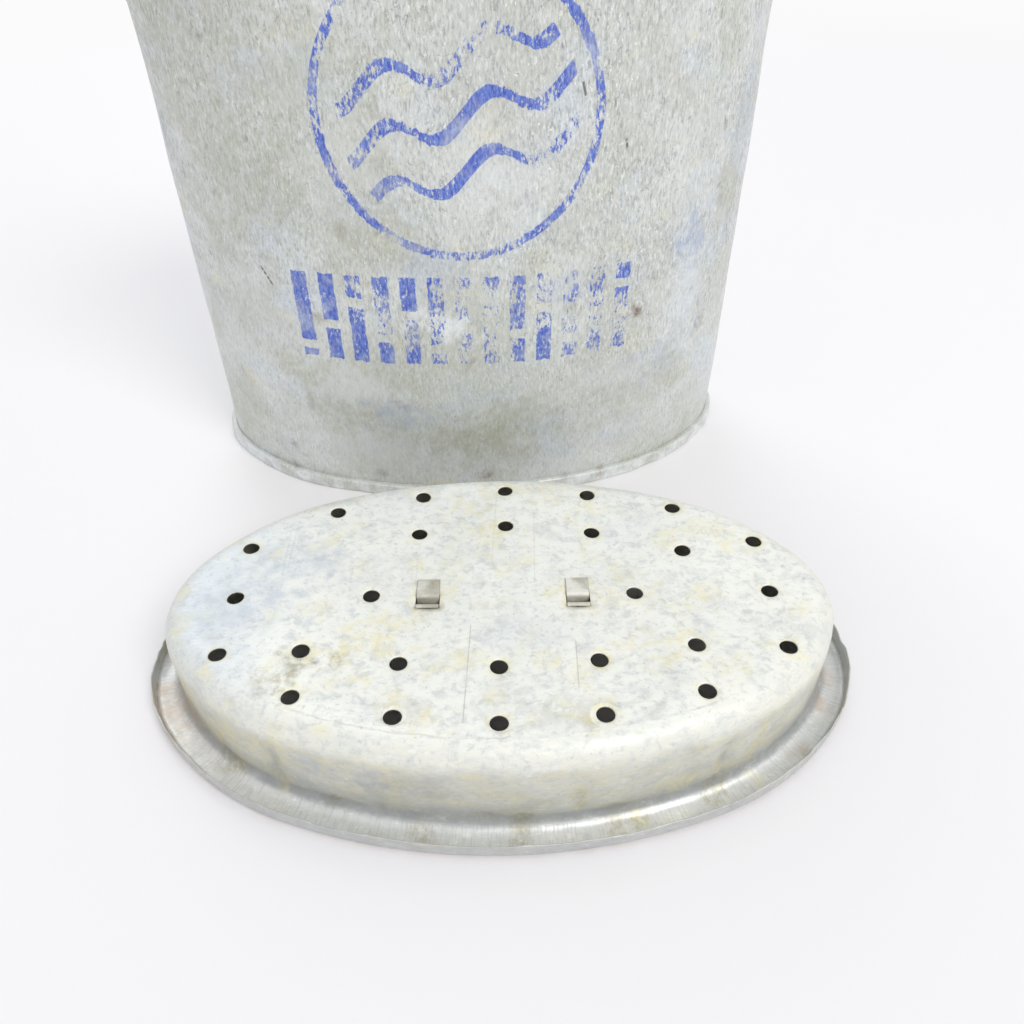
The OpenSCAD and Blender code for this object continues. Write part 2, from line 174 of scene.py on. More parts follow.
def arc(centre, r, start, end, n):
    """n points on an arc, angles in degrees, the last point left out."""
    return [
        (centre[0] + r * math.cos(a), centre[1] + r * math.sin(a))
        for a in np.radians(np.linspace(start, end, n + 1))[:-1]
    ]


# ---------------------------------------------------------------- smooth seeded noise on arrays
def waves(points, size, seed, count=24):
    """Smooth noise of about unit strength: waves with random directions and lengths near size millimetres."""
    rng = np.random.default_rng(seed)
    out = np.zeros(points.shape[:-1])
    for _ in range(count):
        direction = rng.normal(size=points.shape[-1])
        direction /= np.linalg.norm(direction)
        turn = 2 * math.pi / (size * MM * rng.uniform(0.6, 1.7))
        out += np.cos(points @ (direction * turn) + rng.uniform(0, 2 * math.pi))
    return out * math.sqrt(2 / count)


def bump_at(points, centre, radius):
    """1 at the centre, falling smoothly to 0 about two radii away."""
    gap = np.linalg.norm((points - np.array(centre)) / np.array(radius), axis=-1)
    return np.exp(-gap * gap)


def fade(gap, reach):
    """1 up to an edge, falling away over reach millimetres beyond it."""
    return np.exp(-(np.maximum(gap, 0) / (reach * MM)) ** 2)


def most(*values):
    return np.maximum.reduce(np.broadcast_arrays(*values))


def smooth(low, high, values):
    t = np.clip((values - low) / (high - low), 0, 1)
    return t * t * (3 - 2 * t)


# ---------------------------------------------------------------- meshes
def mesh_piece(name, points, faces):
    mesh = bpy.data.meshes.new(name)
    mesh.from_pydata([tuple(p) for p in points], [], [tuple(int(i) for i in f) for f in faces])
    mesh.validate()
    mesh.polygons.foreach_set("use_smooth", [True] * len(mesh.polygons))
    piece = bpy.data.objects.new(name, mesh)
    bpy.context.scene.collection.objects.link(piece)
    return piece


def grid_faces(n, m, wrap_n=True, wrap_m=True, first=0):
    """Quads between neighbours of an n by m grid of points, numbered row by row from first."""
    i = np.arange(n if wrap_n else n - 1)
    j = np.arange(m if wrap_m else m - 1)
    i, j = [a.ravel() for a in np.meshgrid(i, j, indexing="ij")]
    i2, j2 = (i + 1) % n, (j + 1) % m
    return np.stack([i * m + j, i2 * m + j, i2 * m + j2, i * m + j2], 1) + first


def join_grids(name, parts, clean=True):
    """One mesh from [(points, faces)]; when clean, doubled points are merged and faces turned outwards."""
    points, faces, first = [], [], 0
    for p, f in parts:
        points.append(np.asarray(p).reshape(-1, 3))
        faces += [tuple(int(i) + first for i in face) for face in f]
        first += len(points[-1])
    piece = mesh_piece(name, np.concatenate(points), faces)
    if clean:
        bm = bmesh.new()
        bm.from_mesh(piece.data)
        bmesh.ops.remove_doubles(bm, verts=bm.verts, dist=0.01 * MM)
        bmesh.ops.recalc_face_normals(bm, faces=bm.faces)
        bm.to_mesh(piece.data)
        bm.free()
    return piece


def oval_plate(edge, spacing, holes=(), cuts=()):
    """Triangles filling the closed edge, with round holes [(x, y, r)] and polygon cuts left open.
    Returns points [x, y], triangles, and each opening's loop of point numbers."""
    points = [Vector(p) for p in edge]
    edges = [(i, (i + 1) % len(edge)) for i in range(len(edge))]
    loops = [list(range(len(edge)))]
    openings = [[(x + r * math.cos(a), y + r * math.sin(a)) for a in np.linspace(0, 2 * math.pi, 33)[:-1]]
                for x, y, r in holes]
    openings += [list(c) for c in cuts]
    for opening in openings:
        first = len(points)
        loops.append(list(range(first, first + len(opening))))
        points += [Vector(p) for p in opening]
        edges += [(first + i, first + (i + 1) % len(opening)) for i in range(len(opening))]
    for x, y, r in holes:
        for grown, n in ((1.18, 28), (1.45, 24), (1.8, 20)):
            points += [Vector((x + grown * r * math.cos(a), y + grown * r * math.sin(a)))
                       for a in np.linspace(0, 2 * math.pi, n + 1)[:-1]]
    reach = np.abs(np.array(edge)).max(0)
    rows = int(reach[1] / (spacing * 0.866)) + 1
    cols = int(reach[0] / spacing) + 1
    outline = np.array(edge)
    for j in range(-rows, rows + 1):
        for i in range(-cols, cols + 1):
            p = np.array(((i + 0.5 * (j % 2)) * spacing, j * spacing * 0.866))
            if np.hypot(*(p / reach)) > 1 or np.linalg.norm(outline - p, axis=1).min() < 0.6 * spacing:
                continue
            if not inside(p, outline):
                continue
            if any(math.hypot(p[0] - x, p[1] - y) < 2.0 * r for x, y, r in holes):
                continue
            if any(near_loop(p, cut, 0.5 * spacing) for cut in cuts):
                continue
            points.append(Vector(p))
    out, _, faces, kept, _, _ = delaunay_2d_cdt(points, edges, [], 0, 1e-7)
    out = np.array([tuple(p) for p in out])
    where = {}
    for new, olds in enumerate(kept):
        for old in olds:
            where[old] = new
    tris = []
    for face in faces:
        mid = out[list(face)].mean(0)
        if not inside(mid, outline) or any(math.hypot(mid[0] - x, mid[1] - y) < r for x, y, r in holes):
            continue
        if any(inside(mid, np.array(cut)) for cut in cuts):
            continue
        tris.append(tuple(face))
    return out, tris, [[where[i] for i in loop] for loop in loops]


def inside(p, loop):
    x, y = loop[:, 0], loop[:, 1]
    x2, y2 = np.roll(x, -1), np.roll(y, -1)
    crosses = (y > p[1]) != (y2 > p[1])
    with np.errstate(divide="ignore", invalid="ignore"):
        at = x + (p[1] - y) * (x2 - x) / (y2 - y)
    return bool(np.count_nonzero(crosses & (at > p[0])) % 2)


def near_loop(p, loop, gap):
    loop = np.array(loop)
    return bool((np.abs(p - loop.mean(0)) < np.abs(loop - loop.mean(0)).max(0) + gap).all())


def attribute(piece, name, values):
    layer = piece.data.attributes.new(name, "FLOAT", "POINT")
    layer.data.foreach_set("value", np.asarray(values, np.float32))


def vertices(piece):
    out = np.empty(len(piece.data.vertices) * 3)
    piece.data.vertices.foreach_get("co", out)
    return out.reshape(-1, 3)


# ---------------------------------------------------------------- the bucket's wall
BODY_COUNT = 400
LOCK_SEAM_TOP = BODY_H - 2 * ROLL_OUT - 1 * MM
ROLL_Z = BODY_H - ROLL_OUT
ROLL_END = -120
DINGS = [  # place in x and z on the front or back, radius, depth inwards
    ((-84, -1, 109), 5, 0.7), ((-62, -1, 27), 11, 0.8), ((98, -1, 60), 13, 0.9),
    ((30, -1, 205), 14, 0.6), ((-70, 1, 70), 15, 1.3), ((55, 1, 150), 12, 1.0),
    ((112, 1, 40), 9, 0.8), ((-110, 1, 190), 10, 0.8),
]


def wall_push(flat, z):
    """Slow waves and dings of the wall; the foot and the rim hold it."""
    held = smooth(4 * MM, 30 * MM, z) * smooth(0, 30 * MM, ROLL_Z - 6 * MM - z)
    place = np.concatenate([flat, z[..., None]], 2)
    away = 0.30 * waves(place, 75, 11) + 0.11 * waves(place * [1, 1, 0.6], 22, 12)
    for (x, side, height), radius, depth in DINGS:
        near = bump_at(place[..., [0, 2]], (x * MM, height * MM), (radius * MM, 1.3 * radius * MM))
        away = away - depth * near * (np.sign(flat[..., 1]) == side)
    rolled = smooth(ROLL_Z - 8 * MM, ROLL_Z - 2 * MM, z)
    away = away * held + 0.12 * rolled * waves(place * [1, 1, 0], 40, 13)
    return away * MM, 0 * z


def make_wall():
    hook_x = BEAD_OUT - 2 * SHEET - FOLD_GAP
    hook_lo, hook_hi = SHEET + FOLD_GAP, BEAD_H - SHEET - FOLD_GAP
    section = [
        (-SHEET, hook_lo), (hook_x + SHEET - 0.4 * MM, hook_lo), (hook_x + SHEET, hook_lo + 0.4 * MM),
        (hook_x + SHEET, hook_hi - 0.4 * MM), (hook_x + SHEET - 0.4 * MM, hook_hi), (hook_x, hook_hi),
        (hook_x, hook_lo + SHEET),
    ]
    section += line((0, hook_lo + SHEET), (0, ROLL_Z), 1.95 * MM)
    section += arc((ROLL_IN, ROLL_Z), ROLL_IN, 180, ROLL_END, 16)
    section += arc((ROLL_IN, ROLL_Z), ROLL_OUT, ROLL_END, 180, 22)
    section += line((-SHEET, ROLL_Z), (-SHEET, hook_lo), 7.5 * MM)
    section = np.array(section)
    wall = OVAL.sweep(section, BODY_COUNT, wall_push)
    wall[..., 1] += BUCKET_Y
    parts = [(wall, grid_faces(BODY_COUNT, len(section)))]
    return join_grids("bucket_wall", parts + [lock_seam()], clean=False)


def lock_seam():
    """The folded seam up the back: a flat band with rounded long edges."""
    half, proud, corner = SEAM_W / 2, SEAM_PROUD, 0.45 * MM
    outline = [(-half, -0.3 * MM)] + arc((-half + corner, proud - corner), corner, 180, 90, 4)
    outline += arc((half - corner, proud - corner), corner, 90, 0, 4)
    outline += [(half, proud - corner), (half, -0.3 * MM)]
    side_r, side_c = OVAL.quarter[2][2], OVAL.quarter[2][3][1]
    heights = np.linspace(BEAD_H + 1 * MM, LOCK_SEAM_TOP, 70)
    rows = []
    for z in heights:
        end = 1 - 0.5 * math.exp(-min(z - heights[0], heights[-1] - z) / (1.2 * MM))
        away = wall_push(np.array([[[0.0, HALF_W]]]), np.array([[z]]))[0][0, 0]
        row = []
        for across, out in outline:
            wander = 0.12 * MM * math.sin(z / (23 * MM) + 1)
            r = side_r + away + (out * end if out > 0 else out)
            a = math.pi / 2 - (across + wander) / side_r
            row.append((r * math.cos(a), side_c + r * math.sin(a) + BUCKET_Y, z))
        rows.append(row)
    rows = np.array(rows)
    n, m = rows.shape[:2]
    faces = list(grid_faces(n, m, wrap_n=False, wrap_m=True)[:, ::-1])
    faces += [tuple(range(m)), tuple(range(n * m - 1, (n - 1) * m - 1, -1))]
    return rows, faces


# ---------------------------------------------------------------- the bucket's bottom
def foot_push(flat, z):
    place = np.concatenate([flat, z[..., None]], 2)
    away = 0.10 * waves(place * [1, 1, 0], 34, 21) + 0.05 * waves(place * [1, 1, 0.3], 9, 22)
    for x, y, depth in ((-60, -1, 0.5), (88, -1, 0.6), (15, -1, 0.3), (40, 1, 0.5)):
        near = np.exp(-((flat[..., 0] - x * MM) / (5 * MM)) ** 2) * (np.sign(flat[..., 1]) == y)
        away = away - depth * near
    lift = 0.12 * waves(place * [1, 1, 0], 16, 23) * smooth(4.5 * MM, 6.4 * MM, z)
    return away * smooth(-1 * MM, 2 * MM, OVAL.offset(flat)) * MM, np.minimum(lift, 0.25) * MM


def make_bottom():
    inner, outer = -SHEET - FOLD_GAP, BEAD_OUT
    bend_x, bend_z = inner - FLOOR_BEND_R, FLOOR_TOP - FLOOR_BEND_R
    corner_x = outer - BEAD_R
    section = [(bend_x, FLOOR_TOP)] + arc((bend_x, bend_z), FLOOR_BEND_R, 84, 0, 6)
    section += line((inner, bend_z), (inner, SHEET), 1 * MM)
    section += line((inner, SHEET), (corner_x, SHEET), 1.2 * MM)
    section += arc((corner_x, BEAD_R), BEAD_R - SHEET, -90, 0, 4)
    section += line((outer - SHEET, BEAD_R), (outer - SHEET, BEAD_H - BEAD_R), 1.4 * MM)
    section += arc((corner_x, BEAD_H - BEAD_R), BEAD_R - SHEET, 0, 90, 4)
    section += line((corner_x, BEAD_H - SHEET), (FOLD_GAP, BEAD_H - SHEET), 0.8 * MM)
    section += [(FOLD_GAP, BEAD_H - SHEET), (FOLD_GAP - 0.05 * MM, BEAD_H - SHEET / 2), (FOLD_GAP, BEAD_H)]
    section += line((FOLD_GAP + 0.2 * MM, BEAD_H), (corner_x, BEAD_H), 0.6 * MM)
    section += arc((corner_x, BEAD_H - BEAD_R), BEAD_R, 90, 0, 6)
    section += line((outer, BEAD_H - BEAD_R), (outer, BEAD_R), 1 * MM)
    section += arc((corner_x, BEAD_R), BEAD_R, 0, -90, 6)
    section += line((corner_x, 0), (inner - SHEET, 0), 1 * MM)
    section += line((inner - SHEET, 0), (inner - SHEET, bend_z), 1 * MM)
    section += arc((bend_x, bend_z), FLOOR_BEND_R - SHEET, 0, 90, 4) + [(bend_x, FLOOR_TOP - SHEET)]
    section = np.array(section)
    foot = OVAL.sweep(section, BODY_COUNT, foot_push)
    edge = foot[:, 0, :2]
    points, tris, loops = oval_plate(edge, 4.5 * MM)
    sag = 0.5 * smooth(1.0, 0.8, np.hypot(points[:, 0] / HALF_L, points[:, 1] / HALF_W) * 1.03)
    z = (waves(points, 55, 25) * 0.5 - 0.4) * sag * MM
    z[loops[0]] = 0
    top = np.column_stack([points, FLOOR_TOP + z])
    under = np.column_stack([points, FLOOR_TOP - SHEET + z])
    top[loops[0], :] = foot[:, 0]
    under[loops[0], :] = foot[:, -1]
    parts = [(foot, grid_faces(BODY_COUNT, len(section), wrap_m=False)), (top, tris),
             (under, [t[::-1] for t in tris])]
    for p, _ in parts:
        p[..., 1] += BUCKET_Y
    return join_grids("bucket_bottom", parts)


# ---------------------------------------------------------------- the lid
LID_COUNT = 480
PAN_EDGE = -PAN_INSET - SHOULDER_R
PLATE_EDGE = PAN_EDGE + 3.5 * MM  # the punched plate reaches this far into the shoulder's bend
HOLE_ROWS = [  # middle of the row, drop towards its ends, shift, in millimetres; first and last column
    (59.6, 12.6, 2.2, -2, 2), (37.0, 15.7, 2.2, -1, 2),
    (-35.0, -8.2, -0.6, -2, 2), (-58.1, -11.3, -0.6, -2, 2),
]
END_HOLES = [(side * 100 + 1, y) for side in (-1, 1) for y in (26.1, -0.9, -28.2)]
MID_HOLES = [(side * 49.3 + 1, -0.9) for side in (-1, 1)]
CLIPS = [(CLIP_SHIFT.x + side * CLIP_PITCH / 2, CLIP_SHIFT.y) for side in (-1, 1)]


def lid_holes():
    holes = []
    for middle, drop, shift, first, last in HOLE_ROWS:
        for column in range(first, last + 1):
            y = (middle - drop * column * column / 4) * MM
            holes.append((shift * MM + column * HOLE_PITCH, y, HOLE_R))
    return holes + [(x * MM, y * MM, HOLE_R) for x, y in END_HOLES + MID_HOLES]


def oval_angle(flat):
    """Angle round the oval in radians, from the right end, with the ends and sides at quarter turns."""
    return np.arctan2(flat[..., 1] / HALF_W, flat[..., 0] / HALF_L)


def along(flat, shortest, longest, seed, count=14):
    """Noise that runs round the lid only: waves whose lengths lie between two values in millimetres."""
    rng = np.random.default_rng(seed)
    angle = oval_angle(flat)
    girth = 2 * math.pi * 0.8 * HALF_L
    out = np.zeros(angle.shape)
    for _ in range(count):
        turns = max(1, round(girth / rng.uniform(shortest * MM, longest * MM)))
        out += np.cos(turns * angle + rng.uniform(0, 2 * math.pi))
    return out * math.sqrt(2 / count)


LID_DENTS = [  # angle round the oval in degrees; height, half width, half height and depth in millimetres
    (-129, 15, 3, 9, 1.0), (-78, 13, 2.5, 8, 0.7), (-52, 16, 3.5, 10, 1.0), (-110, 20, 12, 7, 0.5),
    (62, 16, 10, 9, 1.0), (140, 14, 7, 8, 0.8), (12, 18, 6, 9, 0.6),
]


def lid_dents(flat, z):
    """How strong each dent of the pan's wall is at the points, from 0 to 1, and its depth."""
    angle = np.degrees(oval_angle(flat))
    for middle, height, half_w, half_h, depth in LID_DENTS:
        gap = (angle - middle + 180) % 360 - 180
        run = np.radians(gap) * np.hypot(flat[..., 0], flat[..., 1])
        yield np.exp(-(run / (half_w * MM)) ** 2 - ((z - height * MM) / (half_h * MM)) ** 2), depth


def lid_push(flat, z):
    """Waves and dents of the pan's wall, ripples of the flange, and the crinkled lip."""
    place = np.concatenate([flat, z[..., None]], 2)
    off = OVAL.offset(flat)
    angle = np.degrees(oval_angle(flat))
    wall = smooth(3 * MM, 9 * MM, z) * smooth(LID_H - 1 * MM, LID_H - 8 * MM, z) * (off < -2 * MM)
    away = wall * (0.28 * waves(place * [1, 1, 0.7], 48, 31) + 0.10 * waves(place * [1, 1, 0.4], 13, 32))
    for near, depth in lid_dents(flat, z):
        away = away - depth * near * wall
    flange = smooth(-3 * MM, 0.5 * MM, off) * (z < 8 * MM)
    lip = smooth(3.5 * MM, 6 * MM, off) * (z < LIP_H + 1 * MM)
    ripple = 0.5 * along(flat, 9, 26, 33) + 0.25 * along(flat, 3.6, 7, 34)
    crinkled = np.exp(-(((angle - 176 + 180) % 360 - 180) / 9) ** 2)
    bent = np.exp(-((angle - 1) / 2.2) ** 2)
    high = smooth(1.5 * MM, LIP_H, z)
    away = away + lip * high * (0.15 * along(flat, 14, 60, 35) + 0.04 * along(flat, 5, 9, 38))
    away = away - lip * high * crinkled * (0.5 + 0.16 * along(flat, 5, 10, 36)) - lip * high * bent * 0.9
    away = np.minimum(away, np.maximum(LIP_OUT - off, 0) / MM)
    lift = flange * 0.10 * ripple * (1 - lip) + lip * high * 0.15 * along(flat, 10, 40, 37)
    lift = lift - lip * high * (0.35 * crinkled + 0.4 * bent)
    lift = np.maximum(lift, -(z - 0.02 * MM) / MM)
    return away * MM, np.minimum(lift, 0.3) * MM


def floor_shape(flat, holes):
    """Height of the pan's floor about flat: slow waves, dents, and punched-in rims of holes and slots."""
    off = OVAL.offset(flat)
    free = smooth(PLATE_EDGE, PLATE_EDGE - 9 * MM, off)
    into = np.clip(off - PAN_EDGE, 0, None)
    bend = np.sqrt(SHOULDER_R ** 2 - into ** 2) - SHOULDER_R
    z = 0.22 * waves(flat, 52, 41) + 0.09 * waves(flat, 17, 42)
    for (x, y), radius, depth in (((-78, 18), 15, 0.5), ((-66, -33), 9, 0.35), ((14, -30), 17, 0.3),
                                  ((72, 4), 12, 0.35), ((-20, 46), 12, 0.3), ((88, -14), 8, 0.3)):
        z = z - depth * bump_at(flat, (x * MM, y * MM), (radius * MM, radius * MM))
    for clip in CLIPS:
        quiet = 1 - 0.92 * bump_at(flat, (clip[0], clip[1] + 3 * MM), (11 * MM, 13 * MM))
        z = z * quiet
    for x, y, r in holes:
        gap = np.hypot(flat[:, 0] - x, flat[:, 1] - y) - r
        z = z - 0.30 * fade(gap, 1.1)
    for x, y in CLIPS:
        dx = np.maximum(np.abs(flat[:, 0] - x) - SLOT_W / 2, 0)
        front = np.maximum(y - SLOT_D / 2 - flat[:, 1], 0)
        inside_y = flat[:, 1] < y + SLOT_D / 2
        z = z - 0.35 * np.exp(-((dx * dx + front * front) / (1.3 * MM) ** 2)) * inside_y
    return z * free * MM + bend


def make_lid():
    t, wall_x, edge = SHEET, -PAN_INSET, PAN_EDGE
    plate_turn = math.degrees(math.acos((PLATE_EDGE - PAN_EDGE) / SHOULDER_R))
    foot_x, foot_z = wall_x + HOLLOW_R, t + HOLLOW_R
    lip_x, lip_z, bend = LIP_OUT, LIP_BEND_R, LIP_BEND_R
    shoulder_z = LID_H - SHOULDER_R
    outer = arc((edge, shoulder_z), SHOULDER_R, plate_turn, 0, 10)
    outer += line((wall_x, shoulder_z), (wall_x, foot_z), 1.5 * MM)
    outer += arc((foot_x, foot_z), HOLLOW_R, 180, 270, 9)
    outer += line((foot_x, t), (lip_x - bend, t), 1.1 * MM)
    outer += arc((lip_x - bend, lip_z), bend - t, 270, 360, 5)
    outer += line((lip_x - t, lip_z), (lip_x - t, LIP_H - t / 2), 0.9 * MM)
    outer += arc((lip_x - t / 2, LIP_H - t / 2), t / 2, 180, 0, 4)
    under = line((lip_x, LIP_H - t / 2), (lip_x, lip_z), 0.9 * MM)
    under += arc((lip_x - bend, lip_z), bend, 0, -90, 6)
    under += line((lip_x - bend, 0), (foot_x, 0), 1.5 * MM)
    under += arc((foot_x, foot_z), HOLLOW_R + t, 270, 180, 7)
    under += line((wall_x - t, foot_z), (wall_x - t, shoulder_z), 3 * MM)
    under += arc((edge, shoulder_z), SHOULDER_R - t, 0, plate_turn, 6)
    under += arc((edge, shoulder_z), SHOULDER_R - t, plate_turn, plate_turn + 1, 1)
    section = np.array(outer + under)
    skin = OVAL.sweep(section, LID_COUNT, lid_push)
    holes = lid_holes()
    corners = ((-1, -1), (0, -1.06), (1, -1), (1, 1), (-1, 1))
    slots = [[(x + sx * SLOT_W / 2, y + sy * SLOT_D / 2) for sx, sy in corners] for x, y in CLIPS]
    points, tris, loops = oval_plate(skin[:, 0, :2], 2.3 * MM, holes, slots)
    z = floor_shape(points, holes)
    top = np.column_stack([points, LID_H + z])
    low = np.column_stack([points, LID_H - SHEET + z])
    top[loops[0]] = skin[:, 0]
    low[loops[0]] = skin[:, -1]
    parts = [(skin, grid_faces(LID_COUNT, len(section), wrap_m=False)), (top, tris),
             (low, [f[::-1] for f in tris])]
    for loop in loops[1:]:
        rim = np.stack([top[loop], low[loop]], 1)
        parts.append((rim, grid_faces(len(loop), 2, wrap_m=False)))
    return join_grids("bait_lid", parts)


SHARP_ANGLE = math.radians(35)
EAR_EDGE, CLIP_EDGE = 0.35 * MM, 0.22 * MM


def softened(node, width):
    """A copy of a CAD node with its sharp edges rounded."""
    piece = bpy.data.objects.new(node + "_rounded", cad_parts[node].data.copy())
    piece.data.materials.clear()
    bpy.context.scene.collection.objects.link(piece)
    bm = bmesh.new()
    bm.from_mesh(piece.data)
    bmesh.ops.remove_doubles(bm, verts=bm.verts, dist=0.004 * MM)
    bmesh.ops.dissolve_limit(bm, angle_limit=math.radians(1), verts=bm.verts, edges=bm.edges)
    sharp = [e for e in bm.edges if len(e.link_faces) == 2 and e.calc_face_angle(0) > SHARP_ANGLE]
    bmesh.ops.bevel(bm, geom=sharp, offset=width, segments=2, affect="EDGES", clamp_overlap=True)
    bm.to_mesh(piece.data)
    bm.free()
    piece.data.polygons.foreach_set("use_smooth", [True] * len(piece.data.polygons))
    piece.modifiers.new("flat_faces", "WEIGHTED_NORMAL").keep_sharp = False
    return piece


# ---------------------------------------------------------------- materials
def linear(colour):
    """An sRGB colour from 0 to 255 as the linear colour of a socket."""
    return (*(((v / 255 + 0.055) / 1.055) ** 2.4 if v > 10 else v / 255 / 12.92 for v in colour), 1)


class Nodes:
    """A short way to write a node tree. Values may be numbers, sRGB colours from 0 to 255, or sockets."""

    def __init__(self, owner):
        owner.use_nodes = True
        self.tree = owner.node_tree

    def new(self, kind, **settings):
        node = self.tree.nodes.new(kind)
        for key, value in settings.items():
            setattr(node, key, value)
        return node

    def put(self, socket, value):
        if isinstance(value, bpy.types.NodeSocket):
            self.tree.links.new(value, socket)
        elif socket.type == "RGBA":
            socket.default_value = linear(value)
        else:
            socket.default_value = value

    def math(self, operation, *values, clamp=False):
        node = self.new("ShaderNodeMath", operation=operation, use_clamp=clamp)
        for socket, value in zip(node.inputs, values):
            self.put(socket, value)
        return node.outputs[0]

    def chain(self, operation, values, clamp=False):
        out = values[0]
        for value in values[1:]:
            out = self.math(operation, out, value, clamp=clamp)
        return out

    def times(self, *values, clamp=False):
        return self.chain("MULTIPLY", values, clamp)

    def plus(self, *values):
        return self.chain("ADD", values)

    def minus(self, *values):
        return self.chain("SUBTRACT", values)

    def most(self, *values):
        return self.chain("MAXIMUM", values)

    def absolute(self, value):
        return self.math("ABSOLUTE", value)

    def ramp(self, value, low, high, to_low=0.0, to_high=1.0):
        node = self.new("ShaderNodeMapRange", interpolation_type="SMOOTHSTEP")
        for socket, v in zip(node.inputs, (value, low, high, to_low, to_high)):
            self.put(socket, v)
        return node.outputs[0]

    def mix(self, share, a, b):
        node = self.new("ShaderNodeMix", data_type="RGBA")
        for socket, value in zip((node.inputs["Factor"], node.inputs[6], node.inputs[7]), (share, a, b)):
            self.put(socket, value)
        return node.outputs[2]

    def join(self, share, a, b, output):
        """Two shader nodes mixed, as the surface of the output node."""
        node = self.new("ShaderNodeMixShader")
        for socket, value in zip(node.inputs, (share, a.outputs[0], b.outputs[0])):
            self.put(socket, value)
        self.put(self.tree.nodes[output].inputs["Surface"], node.outputs[0])


class Look(Nodes):
    """The nodes of one material. Its patterns lie in the frame's own space, self.place."""

    def __init__(self, name):
        self.material = bpy.data.materials.new(name)
        super().__init__(self.material)
        self.shader = self.tree.nodes["Principled BSDF"]
        self.place = self.new("ShaderNodeTexCoord").outputs["Object"]

    def scaled(self, stretch):
        node = self.new("ShaderNodeVectorMath", operation="MULTIPLY")
        self.put(node.inputs[0], self.place)
        node.inputs[1].default_value = stretch
        return node.outputs[0]

    def noise(self, size, detail=3.0, rough=0.5, stretch=(1, 1, 1), twist=0.0, shift=0.0):
        """Noise whose lumps measure about size millimetres, times 1 / stretch."""
        node = self.new("ShaderNodeTexNoise", noise_dimensions="4D")
        self.put(node.inputs["Vector"], self.scaled(tuple(v / (size * MM) for v in stretch)))
        node.inputs["W"].default_value = shift
        node.inputs["Scale"].default_value = 1.0
        node.inputs["Detail"].default_value = detail
        node.inputs["Roughness"].default_value = rough
        node.inputs["Distortion"].default_value = twist
        return node.outputs["Fac"]

    def patches(self, base, colour, share, low, high, *noise, **more):
        """base with a share of colour in patches, where noise(...) goes from low to high."""
        where = self.ramp(self.noise(*noise, **more), low, high)
        return self.mix(self.times(where, share), base, colour)

    def stains(self, base, rows, least, detail, rough):
        """base under stains, each a mask's name, colour, share, noise range, size and shift of the noise;
        some masks also carry painted shade and painted highlights.
        """
        for mask, colour, share, low, high, size, shift in rows:
            broken = self.ramp(self.noise(size, detail, rough, shift=shift), low, high, least, 1.0)
            amount = self.times(self.attribute(mask), broken)
            base = self.mix(self.times(amount, share, clamp=True), base, colour)
        return base

    def attribute(self, name):
        return self.new("ShaderNodeAttribute", attribute_name=name).outputs["Fac"]

    def axes(self):
        node = self.new("ShaderNodeSeparateXYZ")
        self.put(node.inputs[0], self.place)
        return node.outputs

    def stroke(self, x, y, x1, y1, x2, y2, half):
        """A thin line from (x1, y1) to (x2, y2) in millimetres, steeper than it is wide."""
        slope = (x2 - x1) / (y2 - y1)
        at = self.plus(self.times(self.minus(y, y1 * MM), slope), x1 * MM)
        gap = self.absolute(self.minus(x, at))
        middle, reach = (y1 + y2) / 2 * MM, abs(y2 - y1) / 2 * MM
        ends = self.absolute(self.minus(y, middle))
        line_in = self.ramp(gap, half * MM, 0.45 * half * MM)
        return self.times(line_in, self.ramp(ends, reach, reach - 2 * MM))

    def bump(self, height, depth, strength=1.0, under=None):
        node = self.new("ShaderNodeBump")
        node.inputs["Strength"].default_value = strength
        node.inputs["Distance"].default_value = depth
        self.put(node.inputs["Height"], height)
        if under is not None:
            self.put(node.inputs["Normal"], under)
        return node.outputs["Normal"]

    def finish(self, colour, rough, metal, normal=None):
        self.put(self.shader.inputs["Base Color"], colour)
        self.put(self.shader.inputs["Roughness"], rough)
        self.put(self.shader.inputs["Metallic"], metal)
        if normal is not None:
            self.put(self.shader.inputs["Normal"], normal)
        return self.material


# The print: the ring and the waves in it, and the band of upright bars below
RING_X, RING_Z, RING_R = -2 * MM, 176.5 * MM, 52.6 * MM
RING_FOOT = 122 * MM
WAVE_LENGTH, WAVE_RISE, WAVE_GAP = 37 * MM, 5 * MM, 20 * MM
BAND_LEFT, BAND_MIDDLE, BAND_TOP = -75 * MM, 94.5 * MM, 115 * MM
BAR_PITCH, BAR_W, CUT_STEP = 11.4 * MM, 6.5 * MM, 1.6 * MM


